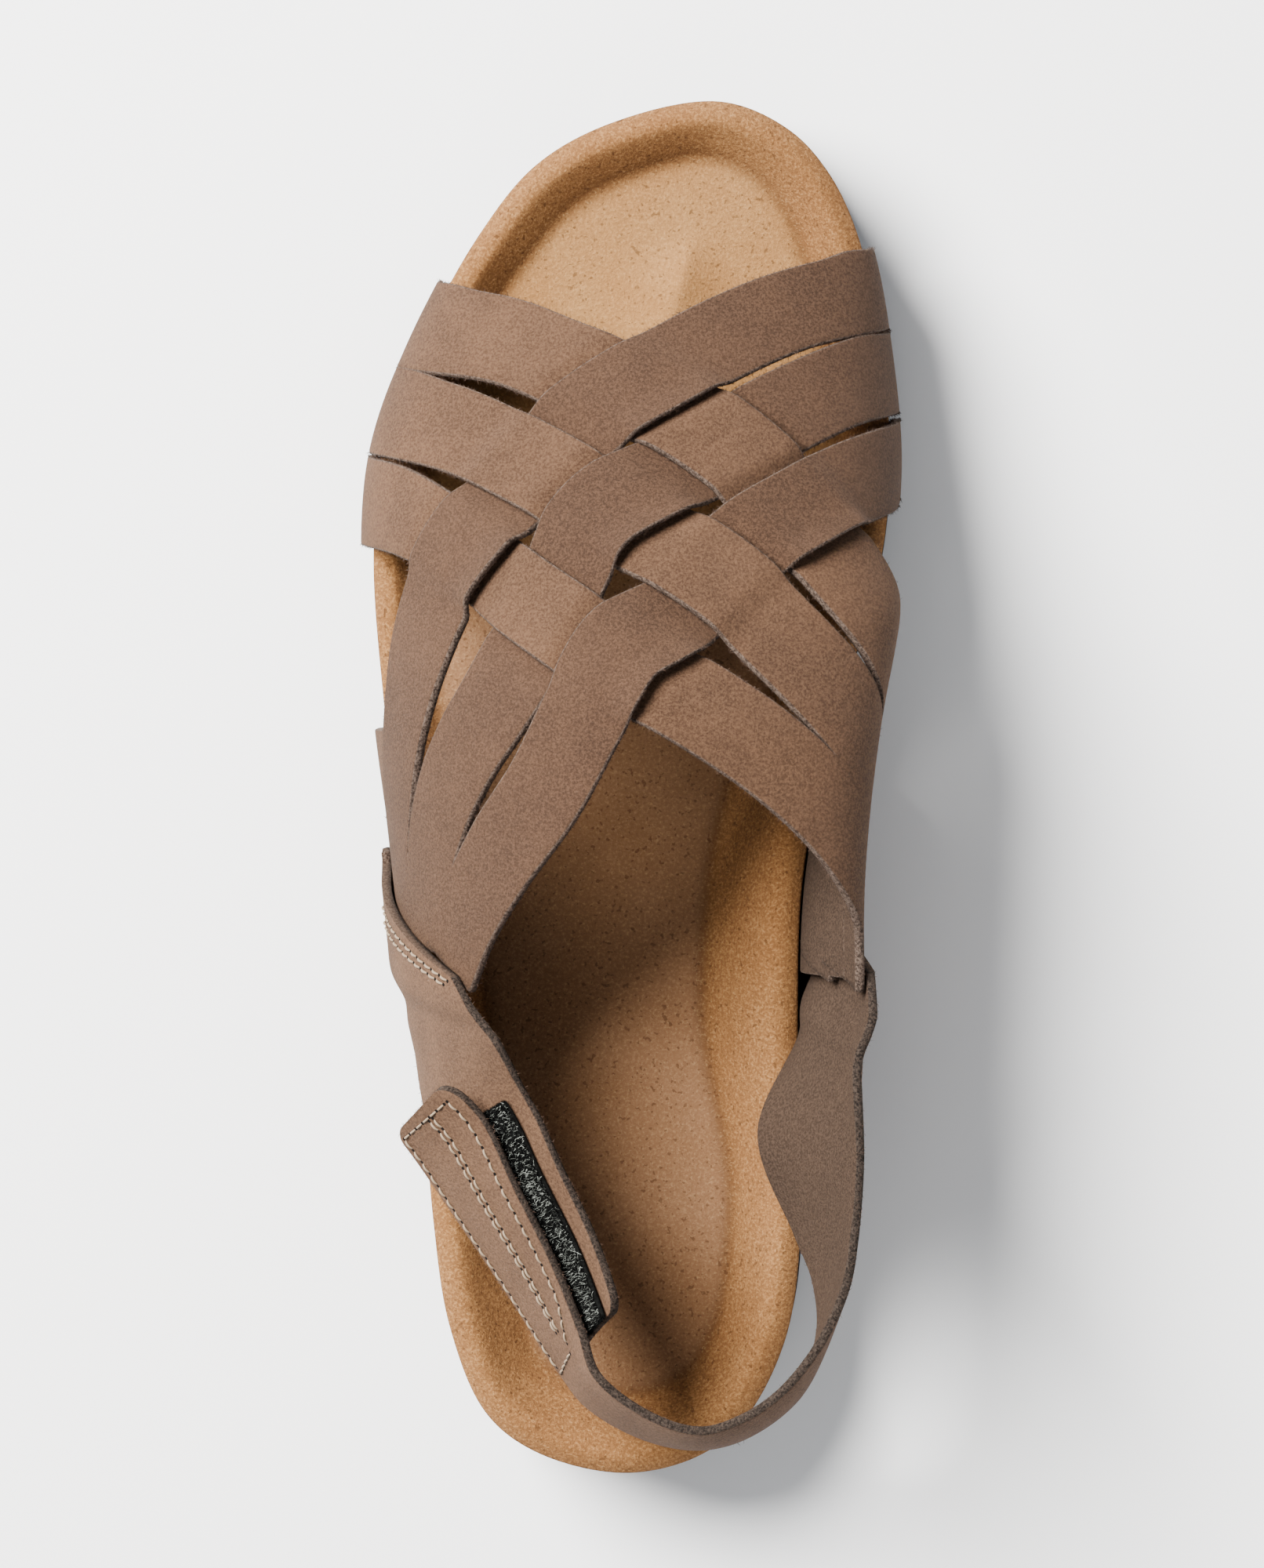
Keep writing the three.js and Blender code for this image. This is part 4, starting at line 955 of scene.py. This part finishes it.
def rows_on_form(table, side):
    table = np.array(table)
    rows = []
    for first, second in zip(table, table[1:]):
        rows += [mix(first, second, k / ROW_SPLITS) for k in range(ROW_SPLITS)]
    return [row_on_form(row, side) for row in [*rows, table[-1]]]


def placed(point):
    across, along, up = point
    height = HEEL_RIM_HEIGHT + up * (INSTEP_HEIGHT - HEEL_RIM_HEIGHT)
    return np.array([across * BALL_WIDTH, along * FOOTBED_LENGTH, height])


def free_rows():
    rows = []
    for i, (low, high, cup) in enumerate(SLING):
        before = placed(SLING[max(i - 1, 0)][1])
        after = placed(SLING[min(i + 1, len(SLING) - 1)][1])
        low = placed(low)
        high = placed(high)
        outward = unit(np.cross(high - low, after - before))
        share = np.linspace(0, 1, ROW_POINTS)[:, None]
        rows.append(mix(low, high, share) + outward * cup * BALL_WIDTH * 4 * share * (1 - share))
    return rows


# Step over a surface's rows in which lengths are measured
SHARE_STEP = 0.003


class Surface:
    """Smooth surface through rows of points. a runs over the rows, b along each."""

    def __init__(self, rows):
        self.rows = np.array(rows)

    def at(self, a, b):
        a = np.asarray(a, float)
        b = np.asarray(b, float)
        columns = self.rows.shape[1]
        lines = through(self.rows, np.broadcast_to(a[:, None], (len(a), columns)))
        return through(np.swapaxes(lines, 0, 1), b.T).swapaxes(0, 1)

    def beyond(self, a, b, step=0.05):
        """The same, carried straight on where b passes 0 or 1."""
        inside = np.clip(b, 0, 1)
        edge = self.at(a, inside)
        back = self.at(a, np.clip(inside - step * np.sign(b - inside), 0, 1))
        reach = np.abs(b - inside)[..., None] / step
        return edge + (edge - back) * reach

    def width(self, a):
        a = np.atleast_1d(a)
        ends = self.at(a, np.tile([0.0, 1.0], (len(a), 1)))
        return np.linalg.norm(ends[:, 1] - ends[:, 0], axis=-1)

    def share(self, a, length, step=SHARE_STEP):
        """Share of the rows that a length along the middle line takes at a."""
        ends = self.at(np.array([a - step, a + step]), np.full((2, 1), 0.5))[:, 0]
        return length * 2 * step / np.linalg.norm(ends[1] - ends[0])


medial_rows = rows_on_form(MEDIAL_QUARTER, 1)
sling = Surface(medial_rows + free_rows())
SLING_COUNT = len(sling.rows) - 1


def sling_at(row):
    return (len(medial_rows) + row) / SLING_COUNT


def sling_grid(a, b, inset=0.0):
    """Points and outward normals of the sling surface, moved inward by an inset."""
    points = sling.beyond(a, b)
    step = 0.004
    along = sling.beyond(np.clip(a + step, 0, 1), b) - sling.beyond(np.clip(a - step, 0, 1), b)
    across = sling.beyond(a, b + 0.02) - sling.beyond(a, b - 0.02)
    normals = unit(np.cross(across, along))
    return points - normals * inset, normals


def span_grid(low, high, columns):
    """Even steps from low to high in each row."""
    share = np.linspace(0, 1, columns + 1)[None, :]
    return low[:, None] + (high - low)[:, None] * share


def rounded_rows(surface, end, near_end, count, columns):
    """Rows of a surface up to its end, closer together there and drawn in to round its corners."""
    turn = surface.share(near_end, CORNER_ROUND)
    closer = end - turn * (1 - np.sin(np.linspace(0, math.pi / 2, 9)[1:]))
    a = np.concatenate([np.linspace(0.0, end - turn, count), closer])
    near = np.clip(1 - np.abs(end - a) / turn, 0, 1)
    cut = CORNER_ROUND / surface.width(end) * (1 - np.sqrt(np.maximum(0, 1 - near * near)))
    return a, span_grid(cut, 1 - cut, columns)


def sling_strap():
    build = Build()
    end = sling_at(TAB_END_ROW)
    a, b = rounded_rows(sling, end, end - 2 * SHARE_STEP, 300, PANEL_COLUMNS)
    grid, normals = sling_grid(a, b)
    edges = sheet(build, grid, normals, SHEET, strap=1.0)
    tuck_sheet(build, "quarter_medial")
    made = to_object("sling_leather", build, suede)
    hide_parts("sling_strap")
    return made, edges


HOOK_INSET = LEATHER / 2 + FIT_GAP + TAPE_THICKNESS / 2
LOOP_INSET = HOOK_INSET + TAPE_THICKNESS + FIT_GAP
TONGUE_INSET = LOOP_INSET + TAPE_THICKNESS / 2 + FIT_GAP + LEATHER / 2


def tongue_rows():
    count = 3 * (TAB_END_ROW - 1 - TONGUE_TIP_ROW)
    rows = []
    for i in range(count + 1):
        a = np.array([sling_at(mix(TAB_END_ROW - 1, TONGUE_TIP_ROW, i / count))])
        reveal = TONGUE_REVEAL / sling.width(a)[0]
        b = np.linspace(0, 1, ROW_POINTS)[None, :] * (1 + reveal)
        rows.append(sling_grid(a, b, TONGUE_INSET)[0][0])
    return rows


lateral_rows = rows_on_form(LATERAL_QUARTER, -1)
quarter = Surface(lateral_rows + tongue_rows())


def lateral_quarter():
    build = Build()
    grid = quarter.at(*rounded_rows(quarter, 1.0, 0.99, 200, QUARTER_COLUMNS))
    normals = unit(np.cross(np.gradient(grid, axis=0), np.gradient(grid, axis=1)))
    edges = sheet(build, grid, normals, SHEET, strap=1.0)
    tuck_sheet(build, "quarter_lateral")
    made = to_object("quarter_leather", build, suede)
    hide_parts("lateral_quarter")
    return made, edges


def tape(name, node, inset, reveal):
    build = Build()
    a = np.linspace(sling_at(TONGUE_TIP_ROW), sling_at(TAB_END_ROW - 1), 80)
    width = sling.width(a)
    b = span_grid(1 + (reveal - TAPE_WIDTH) / width, 1 + reveal / width, STRIP_COLUMNS)
    grid, normals = sling_grid(a, b, inset)
    sheet(build, grid, normals, TAPE_THICKNESS)
    made = to_object(name, build, pile)
    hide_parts(node)
    return made


# Threads and fibres
STITCH_PITCH = 2.7
THREAD_RADIUS = 0.24
THREAD_SIDES = 6
HOLE_RADIUS = 0.36
HOLE_SIDES = 8

# Fibres on a millimetre of cut edge, fibres of the loop tape, and the share of them drawn near white as
# painted glints
FUZZ_PER_MM = 9.0
PILE_COUNT = 15000
GLINT_SHARE = 0.13

# Reach and width of the fibres
FUZZ_FIBRE = (1.0, 0.13)
DARK_FIBRE = (1.1, 0.16)
GLINT_FIBRE = (1.35, 0.12)
FRINGE_FIBRE = (1.0, 0.16)


def circle(sides, start, first, second):
    """Points round a circle of radius 1, from the first direction towards the second."""
    turn = (np.linspace(0, 2 * math.pi, sides, endpoint=False) + start)[:, None]
    return np.cos(turn) * first + np.sin(turn) * second


def stitch_row(threads, holes, points, normals):
    """Lock stitches along a line on the leather's face, a dark disc of painted shade for the needle hole
    between each two.
    """
    far = walked(points)
    count = int(far[-1] / STITCH_PITCH)

    def at(s):
        normal = picked(s, far, normals)
        return picked(s, far, points), normal / np.linalg.norm(normal)

    for i in range(count):
        start = i * STITCH_PITCH
        bodies = []
        for u in np.linspace(0, 1, THREAD_SIDES):
            here, normal = at(start + STITCH_PITCH * mix(0.08, 0.92, u))
            ahead = at(start + STITCH_PITCH * u + 0.3)[0] - here
            ahead = ahead / max(np.linalg.norm(ahead), 1e-6)
            beside = np.cross(normal, ahead)
            lift = mix(-0.25, 0.24, math.sin(math.pi * u) ** 0.5)
            radius = THREAD_RADIUS * mix(0.75, 1.0, math.sin(math.pi * u))
            bodies.append(here + normal * lift + circle(THREAD_SIDES, 0.9 * u, beside, normal) * radius)
        threads.add(np.concatenate(bodies), ring_faces(len(bodies), THREAD_SIDES))
    # Needle holes: flat dark discs, painted shade in place of a real hole
    for i in range(count + 1):
        here, normal = at(i * STITCH_PITCH)
        beside = unit(np.cross(normal, normal[[1, 2, 0]] + 0.01))
        disc = circle(HOLE_SIDES, 0.0, beside, np.cross(normal, beside))
        rim = here + normal * 0.03 + disc * HOLE_RADIUS
        faces = [(k, (k + 1) % HOLE_SIDES, HOLE_SIDES) for k in range(HOLE_SIDES)]
        holes.add(np.concatenate([rim, [here + normal * 0.05]]), faces)


def blades(build, roots, lean, shortest, reach, width):
    """One thin triangle for each fibre, from its root along its lean."""
    count = len(roots)
    tips = roots + unit(lean) * reach * random.uniform(shortest, 1.0, (count, 1))
    side = unit(np.cross(tips - roots, random.normal(size=(count, 3)))) * width / 2
    corners = np.stack([roots - side, roots + side, tips], axis=1).reshape(-1, 3)
    build.add(corners, np.arange(3 * count).reshape(-1, 3))


def fuzz(build, edges, thickness):
    """Loose fibres that stand off cut edges."""
    for points, outward, normals in edges:
        far = walked(points)
        count = int(far[-1] * FUZZ_PER_MM)
        at = random.uniform(0, far[-1], count)
        out = unit(picked(at, far, outward))
        normal = unit(picked(at, far, normals))
        across = random.uniform(-0.5, 0.5, (count, 1)) * thickness
        lean = out * random.uniform(0.3, 1.0, (count, 1)) + normal * random.normal(0.1, 0.5, (count, 1))
        lean += np.cross(out, normal) * random.normal(0, 0.7, (count, 1))
        blades(build, picked(at, far, points) + normal * across - out * 0.15, lean, 0.3, *FUZZ_FIBRE)


def pile_fibres(build, roots, normals, reach, width):
    count = len(roots)
    lean = normals * random.uniform(0.35, 1.0, (count, 1)) + random.normal(0, 0.55, (count, 3))
    blades(build, roots, lean, 0.4, reach, width)


def on_sling(a, b):
    """Line on the outer face of the sling strap."""
    points, normals = sling_grid(a, b[:, None])
    return points[:, 0] + normals[:, 0] * SHEET / 2, normals[:, 0]


# Rows of stitches on the tab as shares of its width, and how far the row at its end lies from the end
TAB_LOW = 0.085
TAB_MIDDLE = (0.535, 0.592)
TAB_HIGH = 0.86
TAB_HIGH_AT_CLOSE = 0.62
TAB_END_INSET = 2.4

# Rows along the front edge of each quarter: distances from the edge, ends as shares of its height
FRONT_INSETS = (3.0, 5.6)
FRONT_ENDS = (0.32, 0.95)


def tab_stitches(threads, holes):
    """A row round the tab and two down its middle."""
    end = sling_at(TAB_END_ROW)
    end -= sling.share(end - 2 * SHARE_STEP, TAB_END_INSET)
    close = sling_at(TONGUE_TIP_ROW - 0.15)
    run = np.linspace(0, 1, 120)
    across = np.linspace(0, 1, 40)
    rows = [
        (mix(end, close, run), TAB_LOW + 0 * run),
        (mix(end, close, run), mix(TAB_HIGH, TAB_HIGH_AT_CLOSE, smooth((run - 0.8) / 0.2))),
        (end + 0 * across, mix(TAB_LOW, TAB_HIGH, across)),
        (close + 0 * across, mix(TAB_LOW, TAB_HIGH_AT_CLOSE, across)),
    ]
    rows += [(mix(end, close, 0.02 + 0.9 * run), b + 0 * run) for b in TAB_MIDDLE]
    for a, b in rows:
        stitch_row(threads, holes, *on_sling(a, b))


def front_stitches(threads, holes):
    """Two rows along the front edge of each quarter."""
    b = np.linspace(*FRONT_ENDS, 60)
    for inset in FRONT_INSETS:
        a = np.full(len(b), quarter.share(0.02, inset, 0.01))
        line = quarter.at(a, b[:, None])[:, 0]
        beyond = quarter.at(a + 0.02, b[:, None])[:, 0]
        normals = unit(np.cross(beyond - line, np.gradient(line, axis=0)))
        stitch_row(threads, holes, line + normals * SHEET / 2, normals)
        a = np.full(len(b), sling.share(0.02, inset, 0.01))
        stitch_row(threads, holes, *on_sling(a, b))


def loop_tape_pile(dark, glint_fibres):
    """Fibres on the strip of loop tape that shows, a share of them near white as painted glints, with a
    fringe at both ends of the tape.
    """
    start, stop = sling_at(TONGUE_TIP_ROW), sling_at(TAB_END_ROW - 1)

    def on_tape(a, depth):
        b = 1 + (TAPE_REVEAL - random.uniform(0, depth, len(a))) / sling.width(a)
        points, normals = sling_grid(a, b[:, None], LOOP_INSET)
        return points[:, 0], normals[:, 0]

    points, normals = on_tape(random.uniform(start, stop, PILE_COUNT), 6.0)
    points = points + normals * 0.45 * TAPE_THICKNESS
    glinting = random.uniform(size=PILE_COUNT) < GLINT_SHARE
    pile_fibres(dark, points[~glinting], normals[~glinting], *DARK_FIBRE)
    pile_fibres(glint_fibres, points[glinting], normals[glinting], *GLINT_FIBRE)
    for end in (start, stop):
        pile_fibres(dark, *on_tape(np.full(PILE_COUNT // 8, end), 9.0), *FRINGE_FIBRE)


def trims():
    threads, holes, fluff, dark, glint_fibres = (Build() for _ in range(5))
    tab_stitches(threads, holes)
    front_stitches(threads, holes)
    fuzz(fluff, weave_edges + sling_edges + quarter_edges, 0.95 * LEATHER)
    loop_tape_pile(dark, glint_fibres)
    made = [
        (to_object("stitching", threads, thread), "upper_suede"),
        (to_object("needle_holes", holes, hole_shade), "upper_suede"),
        (to_object("edge_fuzz", fluff, fibre, False), "upper_suede"),
        (to_object("tape_pile_dark", dark, pile, False), "tape_pile"),
        (to_object("tape_pile_glints", glint_fibres, tape_glint_fibre, False), "tape_pile"),
    ]
    for part, slot_name in made:
        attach(part, "root")


weave, weave_edges = vamp_strips()
sling_part, sling_edges = sling_strap()
quarter_part, quarter_edges = lateral_quarter()
trims()
parts = [footbed(), *core_and_bottom(), weave, sling_part, quarter_part]
parts.append(tape("loop_pile", "loop_tape", LOOP_INSET, TAPE_REVEAL))
parts.append(tape("hook_pile", "hook_tape", HOOK_INSET, -0.5 * TAPE_REVEAL))
for part in parts:
    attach(part, "root")


# Studio, in metres and watts
FLOOR_HALF = 3.0
FLOOR_WHITE = (0.93, 0.93, 0.935, 1.0)
SKY = (0.9, 0.94, 1.0, 1.0)
SKY_STRENGTH = 0.42
LAMP_COLOUR = (1.0, 0.985, 0.96)

# Each lamp's place, size and power
LAMPS = {
    "key": ((-0.86, 0.62, 1.24), 1.0, 160.0),
    "rear_fill": ((0.1, -0.85, 1.55), 1.1, 7.0),
}


def studio():
    floor_mesh = bpy.data.meshes.new("floor")
    corners = [(FLOOR_HALF * x, FLOOR_HALF * y, 0) for x, y in ((-1, -1), (1, -1), (1, 1), (-1, 1))]
    floor_mesh.from_pydata(corners, [], [(0, 1, 2, 3)])
    floor_mesh.materials.append(plain("floor_white", FLOOR_WHITE, 0.9))
    floor = linked("floor", floor_mesh)

    world = bpy.data.worlds.new("studio")
    world.use_nodes = True
    background = world.node_tree.nodes["Background"]
    background.inputs["Color"].default_value = SKY
    background.inputs["Strength"].default_value = SKY_STRENGTH
    bpy.context.scene.world = world

    for name, (place, size, power) in LAMPS.items():
        data = bpy.data.lights.new(name, "AREA")
        data.shape = "DISK"
        data.size = size
        data.energy = power
        data.color = LAMP_COLOUR
        made = linked(name, data)
        made.location = place
        made.rotation_euler = (Vector((0, 0, 0.03)) - Vector(place)).to_track_quat("-Z", "Y").to_euler()


# Camera straight above a point beside the shoe, in millimetres from the part's heel end. The scale holds
# at the height of the rim, and the pixels are the photo's
CAMERA_HEIGHT = 1500.0
CAMERA_NADIR = (52.97, 149.94)
CAMERA_ROLL = math.radians(2.0)
SCALE_HEIGHT = 33.0
PIXELS_PER_MM = 3.93
PHOTO_MIDDLE = (806.0, 1000.0)
SHOE_MIDDLE = (592.0, 1070.0)
FRAME_PIXELS = 1165.0
SENSOR = 36.0


def camera():
    data = bpy.data.cameras.new("camera")
    made = linked("camera", data)
    nadir = np.array([*CAMERA_NADIR, CAMERA_HEIGHT]) + SHIFT
    made.location = nadir * MM
    made.rotation_euler = (0, 0, CAMERA_ROLL)
    rim_distance = CAMERA_HEIGHT - SCALE_HEIGHT
    data.sensor_width = SENSOR
    data.lens = SENSOR * rim_distance / (FRAME_PIXELS / PIXELS_PER_MM)
    data.shift_x = (SHOE_MIDDLE[0] - PHOTO_MIDDLE[0]) / FRAME_PIXELS
    data.shift_y = -(SHOE_MIDDLE[1] - PHOTO_MIDDLE[1]) / FRAME_PIXELS
    data.clip_start = 0.01
    bpy.context.scene.camera = made


studio()
camera()
